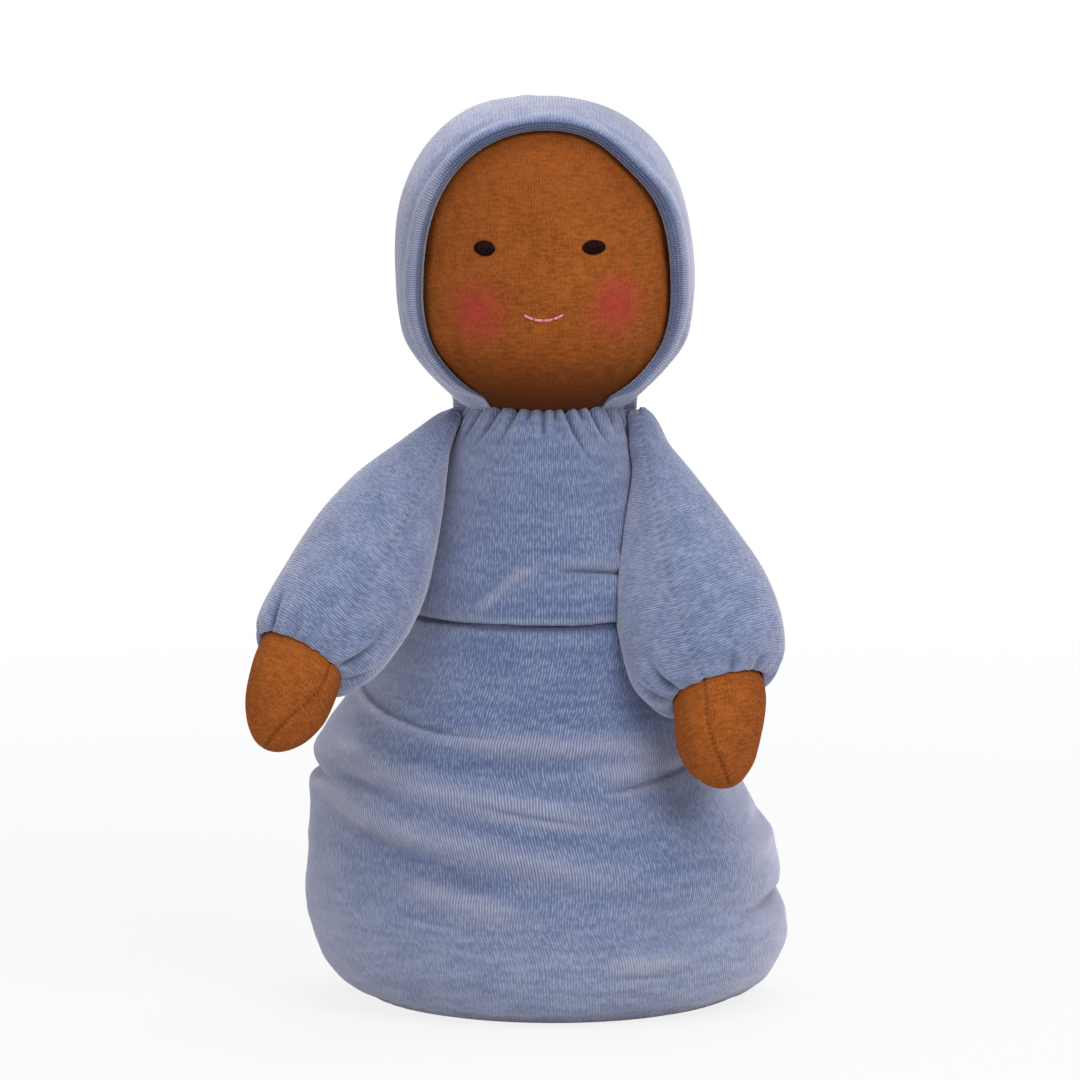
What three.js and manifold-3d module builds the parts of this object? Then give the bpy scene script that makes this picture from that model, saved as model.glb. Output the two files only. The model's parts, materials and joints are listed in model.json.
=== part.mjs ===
// A soft cloth doll in a hooded velour gown, built in the layers in which it is sewn: a wool head in
// gauze and jersey, a hood with a rolled hem, a weighted sack body and two gathered sleeves that hold
// jersey hands. Millimetres, +Z up. The doll faces -Y and stands on the XY plane, so its own left is +X.
import * as THREE from 'three';
import { mergeVertices } from 'three/addons/utils/BufferGeometryUtils.js';
import Module from 'manifold-3d';

const wasm = await Module();
wasm.setup();

// Cloths, threads, the gap between layers that touch, and how far a cut runs past what it cuts
const velour = 1.6;
const jersey = 1;
const gauze = 0.7;
const threadRadius = 0.6;
const clearance = 0.3;
const turningClearance = 3 * clearance;
const overrun = 10;

// Gown: a sack that is widest low down, folds in at the waist and is gathered at the neck
const gownFoot = 0.4;
const seamHalfWidth = 68;
const seamHalfDepth = 60;
const sackHeight = 45;
const sackHalfWidth = 97;
const sackHalfDepth = 79;
const sackLean = 9;
const waistHeight = 163;
const waistHalfWidth = 60;
const waistHalfDepth = 50;
const neckEdgeHeight = 247;
const neckRadius = 31;
const waistFoldDepth = 3.5;
const waistFoldWidth = 6;
const softFoldDepth = 2.4;
const softFoldWidth = 8;
const neckGatherDepth = 1.1;
const neckGatherReach = 34;

// Grain pouch on the base panel
const pouchHalfWidth = 54;
const pouchHalfDepth = 44;
const pouchHeight = 26;

// Neck: a jersey stalk sewn in the gown, and the tied waist of cloth above it on which the head nods
const neckSink = 1.5;
const neckPivotHeight = neckEdgeHeight - neckSink;
const neckStub = 2.6;
const neckTieRadius = 10;
const stalkRadius = 20;
const stalkLength = 40;
const stalkSlopeDegrees = 13;

// Head, with heights on the face measured from the widest place
const headRadius = 57.8;
const headCrown = 69.5;
const headChin = 57;
const eyeLineHeight = 12;
const eyeLineDent = 1.2;
const coreDent = 2.9;
const dentWidth = 9;
const eyeHeight = 17.8;
const leftEyeSide = 20;
const rightEyeSide = -25;
const leftEyeHalfWidth = 4.9;
const rightEyeHalfWidth = 4.5;
const eyeHalfHeight = 3.1;
const eyeThickness = 1.4;
const mouthHeight = -11.4;
const mouthSide = -0.8;
const mouthHalfWidth = 8.2;
const mouthSag = 1.7;

// Hood: thick cloth behind a rolled hem that lies in a leaning plane round the face
const hoodCloth = 3.2;
const hoodNeckHeight = 254.5;
const hemRadius = 4.2;
const hemDepth = 28.5;
const hemLeanDegrees = 5;
const hemEndDegrees = 148;

// Arms: a puffed sleeve from a round cap at the shoulder to a gathered cuff
const shoulderDrop = 7;
const shoulderHeight = neckEdgeHeight - shoulderDrop;
const shoulderForward = 4;
const capRadius = 8;
const armLength = 113;
const sleeveHalfWidth = 29;
const sleeveHalfDepth = 24.5;
const cuffOverhang = 1.6;
const cuffGatherDepth = 0.9;
const cuffGatherReach = 26;
const knotThread = 0.8;
const rightArmOutDegrees = 31.5;
const rightArmForwardDegrees = 31;
const leftArmOutDegrees = 16.5;
const leftArmForwardDegrees = 28;

// Hands: a ball in the cuff, a narrow wrist and a mitten palm that bends a little to one side
const wristRadius = 16;
const handLength = 46;
const handHalfWidth = 19.4;
const handOpening = 4;
const rightHandShift = 9;
const leftHandShift = -9;
const handBendPower = 1.3;
const wristNeckDegrees = 24;

// Faces round each form
const gownSides = 32;
const headSides = 24;
const sleeveSides = 20;
const handSides = 18;
const threadSides = 5;
const mouthSides = 6;
const hemSides = 8;

// Rows of faces along each form
const ringsPerStation = 3;
const pouchRings = 9;
const mouthPoints = 7;
const mouthSteps = 12;
const hemPoints = 21;
const hemSteps = 28;
const domeSteps = 3;
const ballRoomSteps = 5;
const knotSteps = 26;

// Sack below its widest place: share of its height, and share of the way out from the foot seam
const lowerShares = [[0, 0], [0.08, 0.34], [0.24, 0.66], [0.52, 0.91], [1, 1]];
// Sack above it: share of the height to the waist, of the way out from the waist, and of the lean
const upperShares = [
  [0.22, 0.92, 0.33],
  [0.43, 0.716, 0.95],
  [0.64, 0.486, 1],
  [0.83, 0.16, 0.37],
  [1, 0, 0],
];
// Bodice: share of the height from the waist to the neck, and share of the way out from the neck
const bodiceShares = [[0.14, 0.93], [0.42, 0.6], [0.74, 0.24], [1, 0]];
// Soft folds round the sack: share of the waist's height, and slope across the front
const softFoldShares = [[0.32, -0.07], [0.44, -0.32], [0.63, -0.12], [0.76, -0.06]];
// Sleeve: share of the arm's length, and share of the way out from the cap
const sleeveShares = [
  [0.98, 0.66],
  [0.93, 0.85],
  [0.84, 0.97],
  [0.74, 1],
  [0.62, 0.955],
  [0.48, 0.82],
  [0.36, 0.63],
  [0.25, 0.39],
  [0.16, 0.2],
];
const cuffLipShare = 0.28;
// Hand from its tip to its wrist: share of the length, and share of the full half width
const handShares = [
  [1, 0],
  [0.975, 0.26],
  [0.92, 0.48],
  [0.82, 0.72],
  [0.7, 0.88],
  [0.57, 0.97],
  [0.45, 1],
  [0.34, 0.97],
  [0.24, 0.87],
];
const handDepthShare = 0.84;
// Levels on the head: shares of the chin's reach downwards, and of the crown's reach upwards
const chinLevelShares = [0.985, 0.94, 0.86, 0.74, 0.58, 0.4, 0.2];
const crownLevelShares = [0.46, 0.62, 0.76, 0.87, 0.945, 0.985];
const crownPower = 2.4;
const chinPower = 2.3;
const pouchPower = 2.6;
const fullTurn = 2 * Math.PI;
const radians = THREE.MathUtils.degToRad;
const mix = THREE.MathUtils.lerp;

// Colours of the cloths and threads
const cloth = (color, roughness) => new THREE.MeshStandardMaterial({ color, roughness, metalness: 0 });
const materials = {
  velour: cloth(0x7884a5, 0.95),
  jersey: cloth(0x8f4f22, 0.9),
  wool: cloth(0xe9e0cd, 1),
  gauze: cloth(0xf3efe6, 1),
  thread: cloth(0xd9d2c0, 0.8),
  cotton: cloth(0xd8cdb4, 0.95),
  eyeYarn: cloth(0x2b1714, 0.6),
  mouthYarn: cloth(0xe08a93, 0.7),
};

// Geometry helpers
function solidOf(geometry) {
  const plain = geometry.clone();
  plain.deleteAttribute('normal');
  plain.deleteAttribute('uv');
  const merged = mergeVertices(plain);
  const triVerts = new Uint32Array(merged.index.array);
  const vertProperties = new Float32Array(merged.attributes.position.array);
  return new wasm.Manifold(new wasm.Mesh({ numProp: 3, vertProperties, triVerts }));
}

function geometryOf(solid) {
  const mesh = solid.getMesh();
  const geometry = new THREE.BufferGeometry();
  geometry.setAttribute('position', new THREE.BufferAttribute(mesh.vertProperties, 3));
  geometry.setIndex(new THREE.BufferAttribute(mesh.triVerts, 1));
  return geometry;
}

function named(name, geometry, material) {
  geometry.computeVertexNormals();
  const mesh = new THREE.Mesh(geometry, material);
  mesh.name = name;
  return mesh;
}

// Joins rings, listed upwards, into one closed surface. A lone point is a pole. A wall is a list of
// rings that goes up outside and down inside, and closes on itself. The diagonals of its bands lean
// the same way up and down, so that layers nest.
function loft(rings, wall = false) {
  const positions = [];
  const index = [];
  const starts = rings.map((ring) => {
    const start = positions.length / 3;
    const points = ring.isVector3 ? [ring] : ring;
    points.forEach((p) => positions.push(p.x, p.y, p.z));
    return start;
  });
  const bands = wall ? rings.length : rings.length - 1;
  for (let i = 0; i < bands; i += 1) {
    const next = (i + 1) % rings.length;
    const sides = rings[i].isVector3 ? rings[next].length : rings[i].length;
    for (let j = 0; j < sides; j += 1) {
      const k = (j + 1) % sides;
      if (rings[i].isVector3) {
        index.push(starts[i], starts[next] + k, starts[next] + j);
      } else if (rings[next].isVector3) {
        index.push(starts[i] + j, starts[i] + k, starts[next]);
      } else if (rings[next][0].z >= rings[i][0].z) {
        index.push(starts[i] + j, starts[i] + k, starts[next] + k);
        index.push(starts[i] + j, starts[next] + k, starts[next] + j);
      } else {
        index.push(starts[i] + j, starts[i] + k, starts[next] + j);
        index.push(starts[i] + k, starts[next] + k, starts[next] + j);
      }
    }
  }
  const geometry = new THREE.BufferGeometry();
  geometry.setAttribute('position', new THREE.Float32BufferAttribute(positions, 3));
  geometry.setIndex(index);
  return geometry;
}

function centreOf(ring) {
  const sum = ring.reduce((total, p) => total.add(p), new THREE.Vector3());
  return sum.divideScalar(ring.length);
}

const capped = (rings) => loft([centreOf(rings[0]), ...rings, centreOf(rings.at(-1))]);

const anglesOf = (sides) => Array.from({ length: sides }, (_, i) => (fullTurn * i) / sides);
const sharesTo = (count) => Array.from({ length: count }, (_, i) => i / (count - 1));

// An oval ring whose corners lie alternately out and in by a ripple
function ovalRing({ width, depth, height, sides, shift = 0, ripple = 0 }) {
  return anglesOf(sides).map((angle, i) => {
    const gather = i % 2 === 0 ? ripple : -ripple;
    return new THREE.Vector3(
      shift + (width + gather) * Math.cos(angle),
      (depth + gather) * Math.sin(angle),
      height,
    );
  });
}

const ovalPrism = (size, low, high) =>
  capped([ovalRing({ ...size, height: low }), ovalRing({ ...size, height: high })]);

// An outline runs smoothly through stations of half width, half depth and height, listed upwards
function outlineOf(stations) {
  const points = stations.map((s) => new THREE.Vector3(s.width, s.depth, s.height));
  return new THREE.CatmullRomCurve3(points, false, 'catmullrom');
}

// A station of the outline, moved out by offset square to the surface
function stationAt(outline, share, offset) {
  const at = outline.getPoint(share);
  const along = outline.getTangent(share);
  const slope = Math.hypot(along.x, along.z);
  const out = (offset * along.z) / slope;
  return {
    width: at.x + out,
    depth: at.y + out,
    height: at.z - (offset * along.x) / slope,
    level: at.z,
  };
}

// A lathe profile of [radius, height] pairs, turned to stand on +Z
function turned(profile, sides) {
  const points = profile.map(([radius, height]) => new THREE.Vector2(radius, height));
  return new THREE.LatheGeometry(points, sides).rotateX(fullTurn / 4);
}

// A thread laid round an oval until it meets its own start
function threadRing(width, depth, height, sides) {
  const sections = anglesOf(threadSides).map((angle) => ovalRing({
    width: width + threadRadius * Math.cos(angle),
    depth: depth + threadRadius * Math.cos(angle),
    height: height + threadRadius * Math.sin(angle),
    sides,
  }));
  return loft(sections, true);
}

function tubeAlong(points, radius, sides, steps) {
  const corners = anglesOf(sides).map((angle) =>
    new THREE.Vector2(radius * Math.cos(angle), radius * Math.sin(angle)));
  const path = new THREE.CatmullRomCurve3(points);
  return new THREE.ExtrudeGeometry(new THREE.Shape(corners), {
    steps,
    extrudePath: path,
    bevelEnabled: false,
  });
}

const bump = (distance, width) => Math.exp(-((distance / width) ** 2));

// Gown
const gownOutline = outlineOf([
  ...lowerShares.map(([up, out]) => ({
    width: mix(seamHalfWidth, sackHalfWidth, out),
    depth: mix(seamHalfDepth, sackHalfDepth, out),
    height: mix(gownFoot, sackHeight, up),
  })),
  ...upperShares.map(([up, out]) => ({
    width: mix(waistHalfWidth, sackHalfWidth, out),
    depth: mix(waistHalfDepth, sackHalfDepth, out),
    height: mix(sackHeight, waistHeight, up),
  })),
  ...bodiceShares.map(([up, out]) => ({
    width: mix(neckRadius, waistHalfWidth, out),
    depth: mix(neckRadius, waistHalfDepth, out),
    height: mix(waistHeight, neckEdgeHeight, up),
  })),
]);
const gownStations = lowerShares.length + upperShares.length + bodiceShares.length;
const gownFineRings = ringsPerStation * (gownStations - 1) + 1;

// The sack leans to the doll's right above its widest place
function leanAt(level) {
  const levels = upperShares.map(([up, , lean]) => [mix(sackHeight, waistHeight, up), lean]);
  const table = [[sackHeight, 0], ...levels];
  const i = table.findIndex(([height]) => height >= level);
  if (i < 1) return 0;
  const [low, from] = table[i - 1];
  const [high, to] = table[i];
  return -sackLean * mix(from, to, (level - low) / (high - low));
}

function softFold(x, level) {
  const depths = softFoldShares.map(([up, slope]) =>
    softFoldDepth * bump(level - up * waistHeight - slope * x, softFoldWidth));
  return Math.max(...depths);
}

// One ring of the gown. Its waist is drawn in by a fold, and its neck is gathered.
function gownRing(share, offset, { waistFold = true, softFolds = false } = {}) {
  const { width, depth, height, level } = stationAt(gownOutline, share, offset);
  const gathered = Math.max(0, 1 - (neckEdgeHeight - level) / neckGatherReach);
  const waist = waistFold ? waistFoldDepth * bump(level - waistHeight, waistFoldWidth) : 0;
  const ring = ovalRing({
    width: width - waist,
    depth: depth - waist,
    height,
    sides: gownSides,
    shift: leanAt(level),
    ripple: neckGatherDepth * gathered,
  });
  if (!softFolds) return ring;
  return ring.map((p) => {
    const radial = new THREE.Vector3(p.x, p.y, 0).normalize();
    return p.addScaledVector(radial, -softFold(p.x, level));
  });
}

// Rings inside the gown, smooth behind the soft folds, where the cloth lies double
function gownInsideRings(gap) {
  return sharesTo(gownStations).map((share) => {
    const level = gownOutline.getPoint(share).z;
    const folded = level > gownFoot && level < waistHeight;
    return gownRing(share, -gap - (folded ? softFoldDepth : 0));
  });
}

// The gown's half width at this height
function gownHalfWidthAt(height) {
  let low = 0;
  let high = 1;
  const halvings = 40;
  for (let i = 0; i < halvings; i += 1) {
    const middle = (low + high) / 2;
    const below = gownOutline.getPoint(middle).z < height;
    low = below ? middle : low;
    high = below ? high : middle;
  }
  return gownOutline.getPoint(low).x;
}

function gownBody() {
  const outside = sharesTo(gownFineRings).map((share) => gownRing(share, 0, { softFolds: true }));
  return loft([...outside, ...gownInsideRings(velour).reverse()], true);
}

// The space that the gown keeps from its neighbours, without folds that they would catch in
function gownEnvelope(offset) {
  const rings = sharesTo(gownFineRings).map((share) =>
    gownRing(share, offset, { waistFold: false }));
  return capped(rings);
}

function gownBase() {
  const size = {
    width: seamHalfWidth - velour / 2,
    depth: seamHalfDepth - velour / 2,
    sides: gownSides,
  };
  return ovalPrism(size, 0, velour);
}

function pouch(offset) {
  const half = pouchHeight / 2;
  const profile = sharesTo(pouchRings).map((share) => {
    const rise = Math.cos(Math.PI * (1 - share));
    const round = Math.max(0, 1 - Math.abs(rise) ** pouchPower) ** (1 / pouchPower);
    return [share % 1 === 0 ? 0 : round, rise * (half + offset)];
  });
  const shape = turned(profile, sleeveSides);
  shape.scale(pouchHalfWidth + offset, pouchHalfDepth + offset, 1);
  return shape.translate(0, 0, velour + clearance + half);
}

function neckStalk() {
  const shoulder = neckPivotHeight - stalkRadius * Math.tan(radians(stalkSlopeDegrees));
  return turned(
    [
      [0, neckPivotHeight - stalkLength],
      [stalkRadius, neckPivotHeight - stalkLength],
      [stalkRadius, shoulder],
      [0, neckPivotHeight],
    ],
    sleeveSides,
  );
}

function stalkHole() {
  const radius = stalkRadius + clearance;
  const foot = neckPivotHeight - stalkLength - clearance;
  return turned(
    [[0, foot], [radius, foot], [radius, neckEdgeHeight + overrun], [0, neckEdgeHeight + overrun]],
    sleeveSides,
  );
}

// The wool keeps the shape of the gown's inside and ends below the gather thread
function bodyWool() {
  return geometryOf(
    solidOf(capped(gownInsideRings(velour + clearance).slice(0, -1)))
      .subtract(solidOf(pouch(clearance)))
      .subtract(solidOf(stalkHole())),
  );
}

function neckGatherThread() {
  const inside = neckRadius - velour - neckGatherDepth - clearance - threadRadius;
  return threadRing(inside, inside, neckEdgeHeight - clearance - threadRadius, gownSides);
}

function neckTie() {
  const radius = neckTieRadius + clearance + threadRadius;
  return threadRing(radius, radius, neckPivotHeight + 2 * clearance + threadRadius, sleeveSides);
}

// Head: every layer shares one outline, moved in or out, with a dent where the eye line is tied
const headBottom = neckPivotHeight + neckStub;
const headWidest = headBottom + headChin;

function headOutline(height, offset, dent) {
  const above = height - headWidest;
  const reach = (above > 0 ? headCrown : headChin) + offset;
  const power = above > 0 ? crownPower : chinPower;
  const share = Math.min(1, Math.abs(above) / reach);
  const radius = (headRadius + offset) * (1 - share ** power) ** (1 / power);
  return radius - dent * bump(above - eyeLineHeight, dentWidth);
}

// Outline points from the tied neck to the crown. Hidden layers take every other level.
function headProfile(offset, dent, hidden) {
  const neck = neckTieRadius + offset;
  const bottom = headWidest - headChin - offset;
  const kept = (share, i) => !hidden || i % 2 === 1;
  const levels = [
    ...chinLevelShares.filter(kept).map((share) => -share * (headChin + offset)),
    ...[-1, 0, 1].map((step) => eyeLineHeight + step * dentWidth),
    ...crownLevelShares.filter(kept).map((share) => share * (headCrown + offset)),
  ];
  return [
    [neck, neckPivotHeight + clearance],
    [neck, mix(neckPivotHeight, bottom, 0.9)],
    ...levels.map((above) => [headOutline(headWidest + above, offset, dent), headWidest + above]),
    [0, headWidest + headCrown + offset],
  ];
}

function headShell(offset, thickness, dent, hidden = false) {
  const outside = headProfile(offset, dent, hidden);
  const inside = headProfile(offset - thickness, dent, true);
  return turned([...inside.reverse(), ...outside], headSides);
}

function headFilled(offset, dent, hidden = false) {
  const foot = [0, neckPivotHeight + clearance];
  return turned([foot, ...headProfile(offset, dent, hidden)], headSides);
}

const gauzeOffset = -jersey - clearance;
const coreOffset = gauzeOffset - gauze - clearance;

function eyeLineThread() {
  const height = headWidest + eyeLineHeight;
  const radius = headOutline(height, gauzeOffset, coreDent) + clearance + threadRadius;
  return threadRing(radius, radius, height, headSides);
}

// Where a feature at this side and height above the widest place lies on the face
function onFace(side, above, offset) {
  const height = headWidest + above;
  const radius = headOutline(height, 0, eyeLineDent) + offset;
  return new THREE.Vector3(side, -Math.sqrt(radius ** 2 - side ** 2), height);
}

// A pad of satin stitch, cut to the curve of the skin beneath it
function eye(side, halfWidth) {
  const centre = onFace(side, eyeHeight, clearance);
  const pad = new THREE.SphereGeometry(1, 14, 8);
  pad.scale(halfWidth, eyeThickness, eyeHalfHeight);
  pad.rotateZ(Math.atan2(side, -centre.y));
  pad.translate(centre.x, centre.y, centre.z);
  return geometryOf(solidOf(pad).subtract(solidOf(headFilled(clearance, eyeLineDent))));
}

function mouth() {
  const points = sharesTo(mouthPoints).map((share) => {
    const along = 2 * share - 1;
    const height = mouthHeight + mouthSag * (along ** 2 - 1);
    return onFace(mouthSide + along * mouthHalfWidth, height, clearance + threadRadius);
  });
  return tubeAlong(points, threadRadius, mouthSides, mouthSteps);
}

// Hood
const hemLean = Math.tan(radians(hemLeanDegrees));
const hemPlaneY = (height, back) => -hemDepth + back - hemLean * (height - headWidest);

// Thick cloth over the head, kept behind the hem and above the neck
function hood() {
  const outer = clearance + hoodCloth;
  const wall = solidOf(headFilled(outer, 0)).subtract(solidOf(headFilled(clearance, 0)));
  const reach = headRadius + outer + overrun;
  const high = headWidest + headCrown + outer + overrun;
  const back = hemRadius + clearance;
  const corners = [
    [hoodNeckHeight, hemPlaneY(hoodNeckHeight, back)],
    [hoodNeckHeight, reach],
    [high, reach],
    [high, hemPlaneY(high, back)],
  ];
  const side = new THREE.Shape(corners.map(([height, y]) => new THREE.Vector2(y, height)));
  const keep = new THREE.ExtrudeGeometry(side, { depth: 2 * reach, bevelEnabled: false });
  keep.translate(0, 0, -reach);
  keep.applyMatrix4(new THREE.Matrix4().makeBasis(
    new THREE.Vector3(0, 1, 0),
    new THREE.Vector3(0, 0, 1),
    new THREE.Vector3(1, 0, 0),
  ));
  return geometryOf(wall.intersect(solidOf(keep)));
}

// A point of the hem's centre line, where its plane meets the surface that the hem rests on
function hemPoint(angle) {
  const place = (distance) => {
    const height = headWidest + distance * Math.cos(angle);
    return new THREE.Vector3(distance * Math.sin(angle), hemPlaneY(height, 0), height);
  };
  let near = 0;
  let far = headCrown + headRadius;
  const halvings = 40;
  for (let i = 0; i < halvings; i += 1) {
    const middle = (near + far) / 2;
    const p = place(middle);
    const within = Math.hypot(p.x, p.y) < headOutline(p.z, clearance + hemRadius, 0);
    near = within ? middle : near;
    far = within ? far : middle;
  }
  return place(near);
}

function hoodHem() {
  const end = radians(hemEndDegrees);
  const points = sharesTo(hemPoints).map((share) => hemPoint(mix(-end, end, share)));
  return tubeAlong(points, hemRadius, hemSides, hemSteps);
}

// Sleeve, in the arm's own frame: the shoulder pivot is the origin and the arm runs down -Z
const cuffEnd = armLength + cuffOverhang;
const wristHalfDepth = wristRadius * handDepthShare;
const sleeveOutline = outlineOf([
  {
    width: mix(wristRadius, sleeveHalfWidth, cuffLipShare),
    depth: mix(wristHalfDepth, sleeveHalfDepth, cuffLipShare),
    height: -cuffEnd,
  },
  ...sleeveShares.map(([along, out]) => ({
    width: mix(capRadius, sleeveHalfWidth, out),
    depth: mix(capRadius, sleeveHalfDepth, out),
    height: -along * armLength,
  })),
  { width: capRadius, depth: capRadius, height: 0 },
]);

// A ball from its equator up to its top pole, or to a round opening there
function domeRings(radius, depth, sides, steps, opening = 0) {
  const rings = sharesTo(steps + 1).slice(1, -1).map((share) => {
    const rise = (share * fullTurn) / 4;
    return ovalRing({
      width: radius * Math.cos(rise),
      depth: depth * Math.cos(rise),
      height: radius * Math.sin(rise),
      sides,
    });
  });
  if (opening === 0) return [...rings, new THREE.Vector3(0, 0, radius)];
  const height = Math.sqrt(radius ** 2 - opening ** 2);
  return [...rings, ovalRing({ width: opening, depth: opening, height, sides })];
}

function sleeveFilled(offset, count) {
  const rings = sharesTo(count).map((share) => {
    const station = stationAt(sleeveOutline, share, offset);
    const gathered = Math.max(0, 1 - (armLength + station.level) / cuffGatherReach);
    const ripple = station.level < -armLength ? 0 : cuffGatherDepth * gathered;
    return ovalRing({ ...station, sides: sleeveSides, ripple });
  });
  const cap = domeRings(capRadius + offset, capRadius + offset, sleeveSides, domeSteps);
  return solidOf(loft([centreOf(rings[0]), ...rings, ...cap]));
}

function armPlacement(arm) {
  const euler = new THREE.Euler(radians(-arm.forward), radians(arm.out), 0, 'YXZ');
  const position = new THREE.Vector3(arm.pivotX, -shoulderForward, shoulderHeight);
  const unscaled = new THREE.Vector3(1, 1, 1);
  const rotation = new THREE.Quaternion().setFromEuler(euler);
  return new THREE.Matrix4().compose(position, rotation, unscaled);
}

// The gown's envelope as the arm's own frame sees it
const gownBeside = (arm, offset) =>
  solidOf(gownEnvelope(offset).applyMatrix4(armPlacement(arm).invert()));

const sleeveOuterRings = 13;
const sleeveInnerRings = 8;

function wristPrism(gap, low, high) {
  const size = { width: wristRadius + gap, depth: wristHalfDepth + gap, sides: sleeveSides };
  return solidOf(ovalPrism(size, low, high));
}

// Cloth all round, also where the sleeve lies against the gown, with a hole for the hand
function sleeve(arm) {
  const outside = sleeveFilled(0, sleeveOuterRings).subtract(gownBeside(arm, clearance));
  const inside = sleeveFilled(-velour, sleeveInnerRings).subtract(
    gownBeside(arm, clearance + velour),
  );
  const hole = wristPrism(2 * clearance, -cuffEnd - overrun, -cuffEnd + velour + clearance);
  return geometryOf(outside.subtract(inside).subtract(hole));
}

const knotReach = capRadius - velour - 2 * clearance;

function shoulderKnot() {
  const widestShare = 1.5;
  const radius = (knotReach - knotThread) / widestShare;
  return new THREE.TorusKnotGeometry(radius, knotThread, knotSteps, threadSides, 2, 3);
}

function cuffThread() {
  const gap = 2 * clearance + threadRadius;
  const height = -cuffEnd + velour + clearance + threadRadius;
  return threadRing(wristRadius + gap, wristHalfDepth + gap, height, sleeveSides);
}

// Wool in the sleeve, clear of the shoulder knot, the cuff thread and the ball of the hand
function armWool(arm) {
  const inset = velour + clearance;
  const shoulder = { width: sleeveHalfWidth, depth: sleeveHalfWidth, sides: sleeveSides };
  const knotRoom = ovalPrism(shoulder, -knotReach - clearance, capRadius);
  const threadTop = -cuffEnd + inset + 2 * threadRadius + clearance;
  const ball = {
    width: wristRadius + turningClearance,
    depth: wristHalfDepth + turningClearance,
    sides: handSides,
  };
  const ballRoom = loft([
    new THREE.Vector3(0, 0, -wristRadius),
    ovalRing({ ...ball, height: 0 }),
    ...domeRings(ball.width, ball.depth, handSides, ballRoomSteps),
  ]);
  return geometryOf(
    sleeveFilled(-inset, sleeveInnerRings)
      .subtract(gownBeside(arm, inset + clearance))
      .subtract(solidOf(knotRoom))
      .subtract(wristPrism(3 * clearance + 2 * threadRadius, -cuffEnd - overrun, threadTop))
      .subtract(solidOf(ballRoom.translate(0, 0, -armLength))),
  );
}

// Hand, in its own frame: the wrist pivot is the origin and the hand runs down -Z
const ballAngles = [1, 0.5, 0].map((share) => share * radians(wristNeckDegrees));
const handOutline = outlineOf([
  ...handShares.map(([along, out]) => ({
    width: out * handHalfWidth,
    depth: out * handHalfWidth * handDepthShare,
    height: -along * handLength,
  })),
  ...ballAngles.map((angle) => ({
    width: wristRadius * Math.cos(angle),
    depth: wristHalfDepth * Math.cos(angle),
    height: -wristRadius * Math.sin(angle),
  })),
]);

const handOuterRings = 12;
const handInnerRings = 9;

// Rings from the tip to the ball's top. The palm drifts to one side towards its tip.
function handRings(arm, offset, count, opening = 0) {
  const drift = (height) => arm.handShift * Math.abs(height / handLength) ** handBendPower;
  const rings = sharesTo(count).slice(1).map((share) => {
    const station = stationAt(handOutline, share, offset);
    return ovalRing({ ...station, sides: handSides, shift: drift(station.height) });
  });
  const tip = -handLength - offset;
  const ball = domeRings(wristRadius + offset, wristHalfDepth + offset, handSides, domeSteps, opening);
  return [new THREE.Vector3(drift(tip), 0, tip), ...rings, ...ball];
}

// A jersey bag with its gathered end open inside the sleeve
function handSkin(arm) {
  const outside = handRings(arm, 0, handOuterRings, handOpening);
  const inside = handRings(arm, -jersey, handInnerRings, handOpening);
  return loft([...outside, ...inside.reverse()]);
}

const handWool = (arm) => loft(handRings(arm, -jersey - clearance, handInnerRings));

// Assembly
const shoulderSide = gownHalfWidthAt(shoulderHeight) + clearance + capRadius;
const arms = [
  {
    side: 'right',
    pivotX: -shoulderSide,
    out: rightArmOutDegrees,
    forward: rightArmForwardDegrees,
    handShift: rightHandShift,
  },
  {
    side: 'left',
    pivotX: shoulderSide,
    out: -leftArmOutDegrees,
    forward: leftArmForwardDegrees,
    handShift: leftHandShift,
  },
];

function armGroup(arm) {
  const hand = new THREE.Group();
  hand.position.z = -armLength;
  hand.add(
    named(`${arm.side}_hand_skin`, handSkin(arm), materials.jersey),
    named(`${arm.side}_hand_wool`, handWool(arm), materials.wool),
  );
  const group = new THREE.Group();
  group.applyMatrix4(armPlacement(arm));
  group.add(
    named(`${arm.side}_shoulder_knot`, shoulderKnot(), materials.thread),
    named(`${arm.side}_sleeve`, sleeve(arm), materials.velour),
    named(`${arm.side}_arm_wool`, armWool(arm), materials.wool),
    named(`${arm.side}_cuff_thread`, cuffThread(), materials.thread),
    hand,
  );
  return group;
}

const doll = new THREE.Group();
doll.add(
  named('gown_body', gownBody(), materials.velour),
  named('gown_base', gownBase(), materials.velour),
  named('body_wool', bodyWool(), materials.wool),
  named('grain_pouch', pouch(0), materials.cotton),
  named('neck_stalk', neckStalk(), materials.jersey),
  named('neck_gather_thread', neckGatherThread(), materials.thread),
  named('neck_tie', neckTie(), materials.thread),
  named('head_wool', headFilled(coreOffset, coreDent, true), materials.wool),
  named('head_gauze', headShell(gauzeOffset, gauze, coreDent, true), materials.gauze),
  named('eye_line_thread', eyeLineThread(), materials.thread),
  named('head_skin', headShell(0, jersey, eyeLineDent), materials.jersey),
  named('left_eye', eye(leftEyeSide, leftEyeHalfWidth), materials.eyeYarn),
  named('right_eye', eye(rightEyeSide, rightEyeHalfWidth), materials.eyeYarn),
  named('mouth_stitch', mouth(), materials.mouthYarn),
  named('hood', hood(), materials.velour),
  named('hood_hem', hoodHem(), materials.velour),
  ...arms.map(armGroup),
);

export default doll;
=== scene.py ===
# %% [markdown]
# # A soft doll in a hooded velour gown
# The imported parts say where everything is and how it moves. This lesson dresses them: jersey skin over
# the wool head and hands, and a gown, sleeves and hood of knitted velour. The frame is loaded first,
# because every piece below is placed by it and rides on one of its bodies.

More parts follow.
